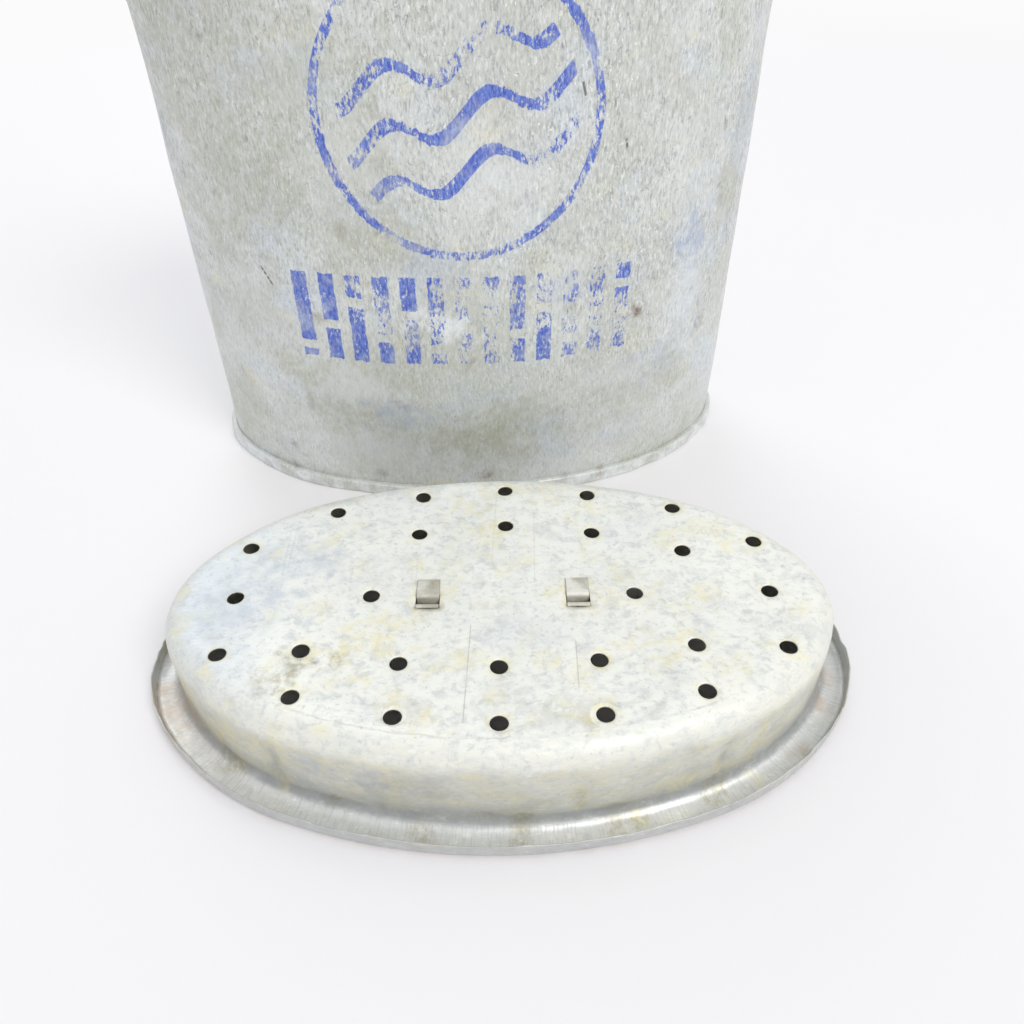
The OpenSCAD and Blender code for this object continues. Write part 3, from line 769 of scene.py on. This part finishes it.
def print_mask(n):
    """A worn print on the front: a ring with three waves in it, over a band of upright bars."""
    x, y, z = n.axes()
    wobble = n.minus(n.noise(2.4, 3.0, 0.62, (1, 1, 0.5), shift=12.0), 0.5)
    x = n.plus(x, n.times(wobble, 2.2 * MM))
    z = n.plus(z, n.times(wobble, 3.0 * MM))
    dx, dz = n.minus(x, RING_X), n.minus(z, RING_Z)
    gap = n.math("SQRT", n.plus(n.times(dx, dx), n.times(dz, dz)))
    ring = n.ramp(n.absolute(n.minus(gap, RING_R)), 1.9 * MM, 1.5 * MM)
    # three waves inside the ring, their strokes thick and thin in turn
    turn = n.times(x, 2 * math.pi / WAVE_LENGTH)
    level = n.minus(dz, n.times(dx, 0.30), n.times(n.math("SINE", turn), WAVE_RISE))
    folded = n.absolute(n.math("WRAP", level, WAVE_GAP / 2, -WAVE_GAP / 2))
    thick = n.ramp(n.math("COSINE", turn), -1, 1, 1.6 * MM, 3.4 * MM)
    stroke = n.ramp(n.minus(folded, thick), 0.3 * MM, -0.2 * MM)
    within = n.times(n.ramp(gap, 45 * MM, 44.4 * MM), n.ramp(n.absolute(level), 27 * MM, 26.5 * MM))
    # bars, each cut through at its own height
    along_band = n.minus(x, BAND_LEFT)
    bar = n.ramp(n.math("WRAP", along_band, BAR_PITCH, 0.0), BAR_W - 0.2 * MM, BAR_W + 0.2 * MM, 1.0, 0.0)
    tall = n.ramp(n.absolute(n.minus(z, BAND_MIDDLE)), 20.4 * MM, 19.9 * MM)
    number = n.math("FLOOR", n.math("DIVIDE", along_band, BAR_PITCH))
    cut = n.math("WRAP", n.times(number, 7.0), 17.0, 0.0)
    cut_z = n.minus(z, n.plus(n.times(cut, CUT_STEP), 80 * MM))
    uncut = n.ramp(n.absolute(cut_z), 1.9 * MM, 2.3 * MM)
    across = n.ramp(n.absolute(n.plus(x, 1.6 * MM)), 74.4 * MM, 74 * MM)
    shapes = n.most(ring, n.times(stroke, within), n.times(bar, tall, uncut, across))
    front = n.times(n.attribute("front"), n.ramp(y, BUCKET_Y - 30 * MM, BUCKET_Y - 31 * MM))
    # wear: a fine speckle of bare zinc, whose share grows where the print is rubbed, most to the right
    above, below = n.ramp(z, BAND_TOP, RING_FOOT), n.ramp(z, RING_FOOT, BAND_TOP)
    gone = n.plus(
        n.noise(34, 3.0, 0.55, shift=3.6),
        n.times(n.ramp(n.minus(dx, dz), 26 * MM, 60 * MM, 0.0, 0.08), above),
        n.times(n.ramp(x, 10 * MM, 50 * MM, -0.03, 0.04), below),
        n.times(n.minus(n.noise(7, 3.0, 0.6, shift=8.3), 0.5), 0.35),
    )
    limit = n.ramp(gone, 0.38, 0.70, 0.37, 0.60)
    speck = n.noise(1.1, 4.0, 0.70, (1, 1, 0.45), shift=1.7)
    left = n.ramp(n.minus(speck, limit), -0.045, 0.06)
    haze = n.ramp(n.noise(12, 5.0, 0.66, shift=22.0), 0.34, 0.54, 0.55, 1.0)
    return n.times(shapes, front, left, haze)


# Stains of the wall, as Look.stains reads them; the chalk row also paints the bead pale as a highlight, and
# the grime row paints shade over the upper left
WALL_STAINS_AND_PAINTED_LIGHT = [
    ("grime", (166, 165, 136), 0.7, 0.34, 0.60, 3.5, 6.5),
    ("chalk_and_bead_highlight", (238, 242, 244), 0.9, 0.34, 0.60, 3.5, 6.5),
    ("blue", (164, 180, 214), 0.75, 0.34, 0.60, 3.5, 5.2),
    ("rust", (104, 66, 40), 1.0, 0.34, 0.60, 3.5, 5.2),
]
WALL_SCRATCHES = [  # from x and z to x and z on the front, in millimetres
    (-88.6, 115, -84, 105), (79.6, 166.6, 82, 169), (84, 166.9, 85.4, 169), (86.6, 167.6, 89.4, 169.8),
    (43, 188, 45, 180), (61.6, 166, 62.4, 160),
]


def zinc_wall(name="weathered_zinc_wall", printed=True):
    """Dull old zinc with a dense relief of short upright fibres, pale patches, dust and a worn print; the
    relief's shade, highlights and glints are also painted into the colour.
    """
    n = Look(name)
    x, _, z = n.axes()
    grey = n.patches((203, 205, 198), (219, 222, 219), 1.0, 0.36, 0.64, 52, 4.0, 0.6, shift=0.4)
    grey = n.patches(grey, (210, 219, 230), 0.6, 0.48, 0.70, 30, 4.0, 0.6, shift=5.2)
    grey = n.patches(grey, (192, 196, 174), 0.34, 0.52, 0.72, 44, 4.0, 0.62, shift=7.7)
    grey = n.patches(grey, (232, 226, 200), 0.4, 0.54, 0.70, 20, 5.0, 0.65, (1, 1, 1.4), shift=9.9)
    # relief: fibres everywhere, coarser dashes high up and to the right, thin wandering creases; their
    # grooves are painted darker as shade and the fibres' tops paler as highlights
    fibre = n.noise(0.95, 4.0, 0.62, (1, 1, 0.34), 0.5, shift=2.0)
    dash = n.noise(2.0, 3.0, 0.6, (1, 1, 0.32), 0.9, shift=6.0)
    crease = n.absolute(n.minus(n.noise(7, 3.0, 0.6, (1, 1, 0.5), 0.6, shift=15.0), 0.5))
    high = n.ramp(n.plus(z, n.times(x, 0.25)), 50 * MM, 150 * MM, 0.40, 1.0)
    force = n.times(high, n.ramp(n.noise(24, 3.0, 0.5, shift=4.4), 0.34, 0.60, 0.5, 1.0))
    # painted shade in the grooves of fibres and dashes and along the creases, painted highlights on the
    # fibres' tops, and painted glints
    fibre_shade = n.times(n.ramp(fibre, 0.50, 0.34), n.ramp(force, 0.0, 1.0, 0.25, 0.55))
    fibre_highlight = n.times(n.ramp(fibre, 0.51, 0.66), n.ramp(force, 0.0, 1.0, 0.25, 0.60))
    dash_shade = n.times(n.ramp(dash, 0.42, 0.30), force, 0.55)
    crease_shade = n.times(n.ramp(crease, 0.014, 0.0), force, n.ramp(dash, 0.58, 0.44), 0.55)
    glint = n.times(n.ramp(n.noise(1.1, 2.0, 0.5, (1, 1, 0.6), shift=21.0), 0.645, 0.70), force, 0.85)
    for share, colour in ((fibre_shade, (154, 158, 160)), (fibre_highlight, (244, 246, 245)),
                          (dash_shade, (132, 136, 138)), (crease_shade, (120, 124, 130)),
                          (glint, (250, 250, 246))):
        grey = n.mix(share, grey, colour)
    grey = n.patches(grey, (128, 124, 112), 0.55, 0.69, 0.75, 1.2, 2.0, 0.6, shift=11.0)
    # stains, with the bead painted pale as a highlight and painted shade over the upper left of the front
    colour = n.stains(grey, WALL_STAINS_AND_PAINTED_LIGHT, 0.2, 5.0, 0.7)
    if printed:
        blue = n.mix(n.ramp(fibre, 0.35, 0.65), (50, 78, 190), (108, 136, 214))
        colour = n.mix(n.times(print_mask(n), 0.92), colour, blue)
        scratches = n.most(*[n.stroke(x, z, *ends, 0.7) for ends in WALL_SCRATCHES])
        rough_cut = n.ramp(n.noise(1.6, 3.0, 0.6, shift=17.0), 0.36, 0.52)
        scratches = n.times(scratches, n.attribute("front"), rough_cut, 0.85)
        colour = n.mix(scratches, colour, (92, 92, 96))
    rough = n.ramp(n.noise(12, 4.0, 0.6, shift=13.0), 0.3, 0.7, 0.40, 0.60)
    rough = n.minus(rough, n.times(fibre_highlight, 0.16))
    height = n.plus(n.times(dash, 1.2), n.times(fibre, 0.6), n.ramp(crease, 0.03, 0.0, 0.0, -0.25))
    normal = n.bump(n.times(height, force), 0.34 * MM, 1.0)
    normal = n.bump(n.noise(0.5, 3.0, 0.6, (1, 1, 0.5), shift=14.0), 0.06 * MM, 0.6, normal)
    return n.finish(colour, rough, 0.25, normal)


# Stains of the lid; the grey row is partly painted shade: in the front hollow, towards the foot of the front
# wall and in the dents
LID_STAINS_AND_SHADE = [
    ("grey", (164, 168, 174), 0.70, 0.36, 0.64, 6, 12.8),
    ("blue", (196, 206, 220), 0.75, 0.36, 0.62, 5, 11.8),
    ("cream", (242, 232, 172), 0.9, 0.44, 0.62, 3.2, 11.7),
    ("grime", (164, 156, 116), 0.9, 0.40, 0.60, 2.6, 11.1),
    ("copper", (204, 178, 152), 0.7, 0.38, 0.62, 4, 14.2),
    ("scratch", (120, 114, 104), 0.85, 0.36, 0.56, 2, 13.9),
    ("rust", (140, 104, 78), 0.85, 0.36, 0.60, 2.5, 9.3),
]
# from x and y to x and y on the pan, in millimetres
THIN_SCRATCHES = [(-10.7, -15.2, -12.4, -59), (26.5, -23.3, 26.2, -46.2)]
FAINT_SCRATCHES = [
    (-84.9, 37.3, -83.7, 8.8), (-82.6, 36, -82.2, 12), (-32.4, 20.9, -32.2, 3.6), (-1.4, 59, -3.4, 14.4),
    (14, 48, 13, 4), (27, 10, 26.6, -12),
]


def zinc_lid():
    """Paler zinc of the lid: faint grain, cream stains round the holes, grime in the hollow of the rim, and
    painted shade down the wall, in the front hollow and in the dents.
    """
    n = Look("weathered_zinc_lid")
    local = n.new("ShaderNodeMapping", vector_type="TEXTURE")
    n.put(local.inputs["Vector"], n.place)
    local.inputs["Location"].default_value = (LID_X, LID_Y, 0)
    local.inputs["Rotation"].default_value = (0, 0, LID_TURN)
    n.place = local.outputs["Vector"]
    x, y, z = n.axes()
    run, out, bright = n.attribute("run"), n.attribute("out"), n.attribute("bright")
    # base: bright on top, bluer at the left end, darker down the shoulder and wall as painted shade, greyer
    # on the flange and darker on the lip
    pale = n.patches((250, 251, 243), (254, 254, 244), 1.0, 0.35, 0.65, 40, 4.0, 0.6, shift=0.9)
    pale = n.mix(n.ramp(x, -66 * MM, -118 * MM, 0.0, 0.75), pale, (218, 228, 236))
    # painted shade: the wall's colour darkens towards its foot, and the shoulder and wall darken as they turn
    # down from the top
    low = n.mix(n.ramp(z, 15 * MM, 4 * MM), (228, 227, 215), (202, 203, 200))
    down = n.ramp(z, LID_H - 0.8 * MM, LID_H - 9 * MM)
    pale = n.mix(n.most(down, n.ramp(out, -15 * MM, -7 * MM, 0.0, 0.65)), pale, low)
    pale = n.mix(bright, pale, (219, 220, 218))
    pale = n.mix(n.ramp(out, 4.6 * MM, 5.6 * MM), pale, (202, 202, 199))
    # grain, mottling and flecks
    grain = n.noise(1.3, 5.0, 0.66, (0.30, 1.0, 1.0), 0.8, shift=1.5)
    pale = n.mix(n.ramp(grain, 0.48, 0.34, 0.0, 0.30), pale, (208, 213, 217))
    pale = n.mix(n.ramp(grain, 0.54, 0.66, 0.0, 0.45), pale, (254, 254, 250))
    mottle = n.noise(8, 6.0, 0.7, shift=2.6)
    pale = n.mix(n.ramp(mottle, 0.50, 0.34, 0.0, 0.42), pale, (212, 216, 214))
    pale = n.patches(pale, (204, 209, 206), 0.6, 0.52, 0.34, 3.4, 5.0, 0.7, (0.8, 1, 1), 0.6, shift=27.0)
    pale = n.patches(pale, (196, 200, 198), 0.5, 0.42, 0.30, 2.0, 3.0, 0.6, shift=25.0)
    # fine ridges across the flange
    place = n.new("ShaderNodeCombineXYZ")
    n.put(place.inputs[0], n.math("DIVIDE", run, 0.8 * MM))
    n.put(place.inputs[1], n.math("DIVIDE", out, 9 * MM))
    ridge = n.new("ShaderNodeTexNoise")
    n.put(ridge.inputs["Vector"], place.outputs[0])
    ridge.inputs["Scale"].default_value = 1.0
    ridge.inputs["Detail"].default_value = 3.0
    ridges = n.times(ridge.outputs["Fac"], bright)
    pale = n.mix(n.times(n.ramp(ridges, 0.52, 0.36), bright, 0.26), pale, (164, 168, 172))
    # streaks down the wall, specks, and stains whose grey row is partly painted shade
    side = n.times(n.ramp(z, LID_H - 3 * MM, LID_H - 9 * MM), n.ramp(z, 4 * MM, 9 * MM))
    pale = n.patches(pale, (230, 222, 178), n.times(side, 0.42), 0.44, 0.64,
                     7, 6.0, 0.68, (0.4, 0.4, 1.3), shift=31.0)
    pale = n.patches(pale, (182, 187, 192), n.times(side, 0.38), 0.48, 0.66,
                     9, 6.0, 0.68, (0.6, 0.6, 1.0), shift=33.0)
    patch = n.ramp(n.noise(18, 3.0, 0.6, shift=7.3), 0.42, 0.60, 0.15, 1.0)
    pale = n.patches(pale, (146, 146, 138), n.times(patch, 0.35), 0.68, 0.73, 0.9, 3.0, 0.65, shift=3.3)
    pale = n.stains(pale, LID_STAINS_AND_SHADE, 0.14, 6.0, 0.74)
    ochre = n.times(n.attribute("cream"), 0.5)
    pale = n.patches(pale, (222, 196, 116), ochre, 0.58, 0.68, 2.2, 4.0, 0.7, shift=19.0)
    # scratches, and the worn edge of the front bend
    top = n.ramp(z, LID_H - 2 * MM, LID_H - 1 * MM)
    thin = n.most(*[n.stroke(x, y, *ends, 0.28) for ends in THIN_SCRATCHES])
    faint = n.most(*[n.stroke(x, y, *ends, 0.30) for ends in FAINT_SCRATCHES])
    cut = n.plus(n.times(thin, 0.32), n.times(faint, 0.12))
    cut = n.times(cut, top, n.ramp(n.noise(5, 3.0, 0.6, shift=23.0), 0.30, 0.48))
    pale = n.mix(cut, pale, (112, 106, 98))
    fold = n.ramp(n.absolute(n.minus(LID_H - 0.12 * MM, z)), 0.09 * MM, 0.03 * MM)
    fold = n.times(fold, n.ramp(y, -46 * MM, -52 * MM), n.ramp(mottle, 0.40, 0.55), 0.25)
    pale = n.mix(fold, pale, (150, 150, 146))
    rough = n.ramp(n.noise(15, 4.0, 0.6, shift=4.1), 0.3, 0.7, 0.40, 0.58)
    rough = n.minus(rough, n.times(bright, 0.12))
    normal = n.bump(n.noise(5, 3.0, 0.55, shift=5.5), 0.10 * MM, 0.6)
    height = n.minus(n.times(grain, 0.6), n.times(n.plus(thin, faint), 0.5))
    normal = n.bump(height, 0.12 * MM, 0.8, normal)
    normal = n.bump(ridges, 0.11 * MM, 0.8, normal)
    return n.finish(pale, rough, n.ramp(z, LID_H - 12 * MM, LID_H - 4 * MM, 0.45, 0.12), normal)


def old_wire(name, dark, light, rusty, metallic=0.6):
    """Stained galvanised wire and fittings, with rust freckles."""
    n = Look(name)
    base = n.mix(n.ramp(n.noise(9, 4.0, 0.6, shift=1.1), 0.35, 0.65), dark, light)
    rust = n.ramp(n.noise(3.2, 5.0, 0.7, shift=2.2), 0.60 - rusty, 0.72 - rusty)
    base = n.mix(n.times(rust, 0.85), base, (118, 78, 48))
    rough = n.plus(n.times(rust, 0.3), 0.42)
    normal = n.bump(n.noise(1.1, 4.0, 0.65, shift=3.3), 0.10 * MM, 0.7)
    metal = n.times(n.minus(1.0, n.times(rust, 0.8)), metallic)
    return n.finish(base, rough, metal, normal)


# ---------------------------------------------------------------- where the wear is
def blobs(points, places, ragged=0.25, seed=0):
    """The strongest of soft patches with ragged outlines, each (x, y, radius x, radius y, amount)."""
    out = np.zeros(len(points))
    rag = 1 + ragged * waves(points, 9, 90 + seed) + 0.6 * ragged * waves(points, 4, 95 + seed)
    rag = np.maximum(rag, 0.5)
    for x, y, rx, ry, amount in places:
        gap = np.hypot((points[:, 0] - x * MM) / (rx * MM), (points[:, 1] - y * MM) / (ry * MM)) * rag
        out = np.maximum(out, amount * smooth(1.15, 0.35, gap))
    return out


def outward(piece):
    """Which points of a bucket piece face away from its axis."""
    normal = np.empty(len(piece.data.vertices) * 3)
    piece.data.vertices.foreach_get("normal", normal)
    away = vertices(piece) - [0, BUCKET_Y, 0]
    return (normal.reshape(-1, 3) * away)[:, :2].sum(1) > 0


FRONT_GRIME_AND_SHADE = [  # x and z on the bucket's front, two radii, all in millimetres, and the amount
    (2, 33, 26, 13, 0.7), (20, 46, 20, 9, 0.45), (-112, 38, 12, 20, 0.4), (72, 45, 22, 16, 0.35),
    # the wide blob at (-88, 185) over the upper left is painted shade that darkens that side of the front,
    # with a warm tint
    (-40, 196, 18, 12, 0.4), (-88, 185, 52, 75, 0.5),
]
BACK_GRIME = [(-30, 60, 30, 22, 0.5), (70, 150, 26, 34, 0.4)]
FRONT_CHALK = [
    (-9, 93, 11, 6, 1.0), (-22, 96, 7, 6, 0.6), (-50, 160, 22, 26, 0.35), (-55, 60, 22, 10, 0.5),
    (20, 152, 26, 10, 0.5), (20, 138, 10, 5, 0.5), (95, 90, 12, 26, 0.45), (-72, 26, 16, 9, 0.4),
    (60, 60, 20, 8, 0.3), (-45, 20, 48, 16, 0.35),
]
FRONT_BLUE = [
    (97, 118, 9, 10, 0.75), (-35, 47, 18, 8, 0.5), (36, 105, 16, 8, 0.35), (80, 62, 14, 10, 0.3),
    (-15, 120, 16, 10, 0.4), (118, 160, 8, 30, 0.35),
]
FRONT_RUST = [(73.5, 90, 2.6, 2.6, 1.0), (71, 93.5, 1.6, 1.4, 0.7), (-90, 20, 2, 2, 0.6)]


def wear_wall(piece):
    """The stains of the wall or the bottom, the bead painted pale as a highlight and painted shade over the
    upper left of the front, as masks on the vertices.
    """
    p = vertices(piece)
    x, y, z = p.T
    out = outward(piece)
    front = out & (y < BUCKET_Y)
    flat = p[:, [0, 2]]
    foot = smooth(16 * MM, 5 * MM, z + 3 * MM * waves(p, 20, 51))
    rim = smooth(ROLL_Z - 12 * MM, ROLL_Z, z)
    within = np.hypot(x / HALF_L, (y - BUCKET_Y) / HALF_W) < 0.998
    dusty = 0.16 * foot + 0.25 * rim + 0.45 * within * smooth(-0.2, 1.2, waves(p, 60, 52))
    # the bead's outer face below about 7 mm, made pale with the chalk colour as painted light on the bead
    bead = smooth(7.5 * MM, 5 * MM, z) * smooth(-1.2, 0.6, waves(p, 12, 54))
    edges = smooth(1.5, 2.6, waves(p, 16, 53)) * (foot + rim + 0.35 * within)
    masks = {
        "grime": most(dusty, front * blobs(flat, FRONT_GRIME_AND_SHADE, seed=1),
                      ~front * blobs(flat, BACK_GRIME, seed=2)),
        "chalk_and_bead_highlight": most(front * blobs(flat, FRONT_CHALK, seed=3), 0.95 * out * bead),
        "blue": front * blobs(flat, FRONT_BLUE, seed=4),
        "rust": most(front * blobs(flat, FRONT_RUST, 0.15, 5), 0.7 * edges),
        "front": front * 1.0,
    }
    for name, values in masks.items():
        attribute(piece, name, values)


TOP_CREAM = [  # x and y on the lid, two radii, all in millimetres, and the amount
    (-5, 32, 10, 12, 0.75), (-13, 50, 8, 7, 0.6), (8, 60, 12, 4, 0.6), (-45, -23, 12, 7, 0.8),
    (-55, -27, 9, 6, 0.7), (36, 50, 9, 5, 0.6), (32, -56, 9, 5, 0.8), (62, -26, 12, 6, 0.7),
    (55, -33, 7, 4, 0.7), (-23, -57, 7, 4, 0.7), (18, -33, 8, 5, 0.45), (100, -30, 6, 6, 0.6),
    (99, 24, 7, 5, 0.6), (-68, -29, 7, 5, 0.6), (52, 0, 8, 8, 0.45), (-33, 32, 6, 5, 0.5),
    (-30, -8, 5, 6, 0.7), (19, 53, 10, 5, 0.5), (40, -4, 10, 7, 0.5), (78, -38, 10, 6, 0.4),
    (-18, 13, 9, 9, 0.4), (66, -8, 12, 5, 0.35), (84, 32, 12, 5, 0.45), (20, -52, 10, 4, 0.4),
]
EDGE_CREAM = [(46.6, -71.7, 4, 3, 1), (90, -57, 3, 4, 0.9), (-75, -58, 5, 3, 0.5), (-92, -47, 3, 3, 0.5)]
TOP_BLUE = [
    (-95, -2, 22, 16, 0.8), (-78, 18, 22, 14, 0.7), (-97, -28, 11, 8, 0.5), (48, 34, 16, 8, 0.3),
    (-40, 55, 26, 8, 0.3), (10, -20, 22, 10, 0.25),
]
TOP_GRIME = [(-75, -39, 6, 4, 0.8), (-71, -31, 7, 4, 0.7), (-57, -30, 4, 4, 0.6), (-78, -45, 5, 3, 0.5)]
EDGE_COPPER = [(122, -26, 5, 6, 0.8), (108, -46, 4, 4, 0.6), (128, -12, 5, 7, 0.5)]
TOP_NICKS = [
    (-82, -45, 2.2, 1.8, 0.9), (-65, -32.5, 2.0, 1.8, 0.9), (65, -33, 1.8, 1.4, 0.6),
    (-40, -17, 1.6, 1.4, 0.6), (-36, -28, 1.5, 1.4, 0.5),
]


def opening_stain(flat):
    """Stain round the holes, stronger round some, and round the clips' slots."""
    out = np.zeros(len(flat))
    for i, (x, y, r) in enumerate(lid_holes()):
        gap = np.hypot(flat[:, 0] - x, flat[:, 1] - y) - r
        out = np.maximum(out, (0.35 + 0.55 * ((i * 7) % 5) / 4) * fade(gap, 1.7))
    for x, y in CLIPS:
        dx = np.maximum(np.abs(flat[:, 0] - x) - SLOT_W / 2, 0)
        dy = np.maximum(np.abs(flat[:, 1] - y - 3 * MM) - 6.5 * MM, 0)
        out = np.maximum(out, 0.9 * np.exp(-(dx * dx + dy * dy) / (1.6 * MM) ** 2))
    return out


def wear_lid(piece):
    """The stains of the lid with painted shade in its front hollow, down its front wall and in its dents, and
    its places round and out from the oval, as values on the vertices.
    """
    p = vertices(piece)
    flat, z = p[:, :2], p[:, 2]
    top = z > LID_H - 3 * MM
    off, run = OVAL.measure(flat)
    angle = np.degrees(oval_angle(flat))
    front = smooth(20, -20, angle) * smooth(-175, -150, angle)
    wall = (z <= LID_H - SHOULDER_R - 2 * MM) & (off < -5 * MM) & (z > 3 * MM)
    hollow = (off > -8.5 * MM) & (off < -3 * MM) & (z < 7 * MM)
    dented = most(*[near for near, _ in lid_dents(flat, z)])
    wall_cream = wall * smooth(-0.2, 1.1, waves(p * [1, 1, 0.6], 30, 62)) * (0.7 + 0.3 * front)
    flange_grime = (off > -8 * MM) * (off < 6 * MM) * (z < 8 * MM) * smooth(0.3, 1.8, waves(p, 18, 64))
    left_end = ((angle + 172) % 360 - 180 * ((angle + 172) % 360 > 300)) / 22
    left_copper = 0.8 * np.exp(-left_end ** 2) * (np.abs(angle) > 120)
    lip_rust = 0.5 * (off > 4 * MM) * smooth(1.2, 2.4, waves(p, 12, 65))
    masks = {
        "cream": most(top * blobs(flat, TOP_CREAM, 0.4, 1), opening_stain(flat),
                      0.55 * smooth(0.5, 2.0, waves(p, 15, 61)) * top, 0.75 * wall_cream,
                      0.8 * blobs(flat, EDGE_CREAM, 0.2, 2)),
        "blue": most(top * blobs(flat, TOP_BLUE, 0.2, 3), wall * 0.85 * np.exp(-((angle + 118) / 7) ** 2)),
        # grey: painted shade in the front hollow, towards the foot of the front wall and in the dents; grey
        # patches on top and grey on the lip
        "grey": most(0.7 * hollow * front, wall * 0.5 * smooth(14 * MM, 5 * MM, z) * front,
                     top * 0.25 * smooth(0.7, 2.0, waves(p, 32, 63)), wall * 0.9 * dented,
                     0.5 * (off > 4.5 * MM)),
        "grime": most(top * blobs(flat, TOP_GRIME, 0.4, 4), 0.6 * flange_grime),
        "copper": (z < 8 * MM) * (off > -9 * MM) * most(left_copper, blobs(flat, EDGE_COPPER, 0.2, 5)),
        "scratch": top * blobs(flat, TOP_NICKS, 0.2, 6),
        "rust": 0.8 * np.minimum(0.8 * (off > 5.5 * MM) * (z < 1.6 * MM) + lip_rust, 1),
        "bright": ((off > -3.5 * MM) & (off < 5 * MM) & (z < 5 * MM)) * 1.0,
        "run": run,
        "out": off,
    }
    for name, values in masks.items():
        attribute(piece, name, values)


# ---------------------------------------------------------------- the object
wall = make_wall()
wear_wall(wall)
bottom = make_bottom()
wear_wall(bottom)
lid = make_lid()
wear_lid(lid)
lid.data.transform(Matrix.Translation((LID_X, LID_Y, 0)) @ Matrix.Rotation(LID_TURN, 4, "Z"))

wall_zinc = zinc_wall()
foot_zinc = zinc_wall("weathered_zinc_foot", printed=False)
lid_zinc = zinc_lid()
fitting = old_wire("stained_fittings", (120, 119, 112), (164, 163, 155), 0.03)
wire = old_wire("stained_wire", (104, 101, 94), (150, 148, 140), 0.06)
tab = old_wire("stained_tabs", (188, 184, 168), (240, 238, 226), 0.015, 0.12)


def stand_for(node, piece, look):
    """Give a piece its material and let it take the place of a CAD node."""
    piece.data.materials.append(look)
    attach(piece, "root")
    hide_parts(node)


stand_for("body", wall, wall_zinc)
stand_for("bottom", bottom, foot_zinc)
stand_for("lid", lid, lid_zinc)
for node in ("ear_left", "ear_right"):
    stand_for(node, softened(node, EAR_EDGE), fitting)
for node in ("lid_clip_left", "lid_clip_right"):
    stand_for(node, softened(node, CLIP_EDGE), tab)

for name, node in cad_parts.items():
    if node.hide_render:
        continue
    look = fitting if name.startswith("rivet") else wire
    for slot in node.material_slots:
        slot.material = look
    node.data.polygons.foreach_set("use_smooth", [True] * len(node.data.polygons))


# ---------------------------------------------------------------- floor, light and camera, in metres
BACKDROP = (0.97, 0.965, 0.965, 1)
SKY = (0.93, 0.95, 1.0, 1)
SKY_STRENGTH = 0.72
FLOOR_REACH = 3.0
FADE_FROM, FADE_TO = 0.55, 1.5  # where the floor turns into the backdrop
LIT_POINT = Vector((0, 0, 0.1))
LAMPS = [  # name, place, size, watts, colour
    ("window", (1.1, -1.5, 2.1), 1.3, 27, (1.0, 0.985, 0.96)),
    ("back_window", (-0.4, 1.8, 1.7), 1.6, 12.5, (0.97, 0.98, 1.0)),
]


def seen_rays(n):
    """1 for the rays that see the background: from the camera, from gloss and through glass."""
    path = n.new("ShaderNodeLightPath")
    return n.most(*[path.outputs[f"Is {kind} Ray"] for kind in ("Camera", "Glossy", "Transmission")])


def white_table():
    """A plain white table that fades into the backdrop away from the object."""
    n = Look("white_table")
    n.finish((246, 244, 244), 0.5, 0.0)
    x, y, _ = n.axes()
    away = n.math("SQRT", n.plus(n.times(x, x), n.times(y, y)))
    far = n.times(n.ramp(away, FADE_FROM, FADE_TO), seen_rays(n))
    backdrop = n.new("ShaderNodeEmission")
    backdrop.inputs["Color"].default_value = BACKDROP
    n.join(far, n.shader, backdrop, "Material Output")
    return n.material


def make_floor():
    corners = [(sx * FLOOR_REACH, sy * FLOOR_REACH, 0) for sx, sy in ((-1, -1), (1, -1), (1, 1), (-1, 1))]
    floor = mesh_piece("floor", corners, [(0, 1, 2, 3)])
    floor.data.materials.append(white_table())


def make_world():
    world = bpy.data.worlds.new("soft_room")
    bpy.context.scene.world = world
    n = Nodes(world)
    sky, seen = n.tree.nodes["Background"], n.new("ShaderNodeBackground")
    for node, colour, strength in ((sky, SKY, SKY_STRENGTH), (seen, BACKDROP, 1.0)):
        node.inputs["Color"].default_value = colour
        node.inputs["Strength"].default_value = strength
    n.join(seen_rays(n), sky, seen, "World Output")


def make_lamps():
    for name, place, size, watts, colour in LAMPS:
        data = bpy.data.lights.new(name, "AREA")
        data.shape, data.size = "DISK", size
        data.energy, data.color = watts, colour
        lamp = bpy.data.objects.new(name, data)
        bpy.context.scene.collection.objects.link(lamp)
        lamp.location = place
        lamp.rotation_euler = (LIT_POINT - Vector(place)).to_track_quat("-Z", "Y").to_euler()


CAMERA_PLACE = Vector((-4.24 * MM, -402.93 * MM + BUCKET_Y, 268.87 * MM))
CAMERA_HEADING = math.radians(3.62)  # to the right of +Y
CAMERA_DOWN = math.radians(40.82)
CAMERA_ROLL = math.radians(-0.37)
CAMERA_LENS = 29.81  # millimetres on a sensor 36 wide


def make_camera():
    data = bpy.data.cameras.new("camera")
    data.sensor_width, data.lens = 36, CAMERA_LENS
    data.clip_start, data.clip_end = 0.01, 20
    camera = bpy.data.objects.new("camera", data)
    bpy.context.scene.collection.objects.link(camera)
    turn = Matrix.Rotation(-CAMERA_HEADING, 4, "Z") @ Matrix.Rotation(math.pi / 2 - CAMERA_DOWN, 4, "X")
    camera.matrix_world = Matrix.Translation(CAMERA_PLACE) @ turn @ Matrix.Rotation(CAMERA_ROLL, 4, "Z")
    bpy.context.scene.camera = camera


make_floor()
make_world()
make_lamps()
make_camera()

bpy.context.scene.view_settings.view_transform = "Standard"
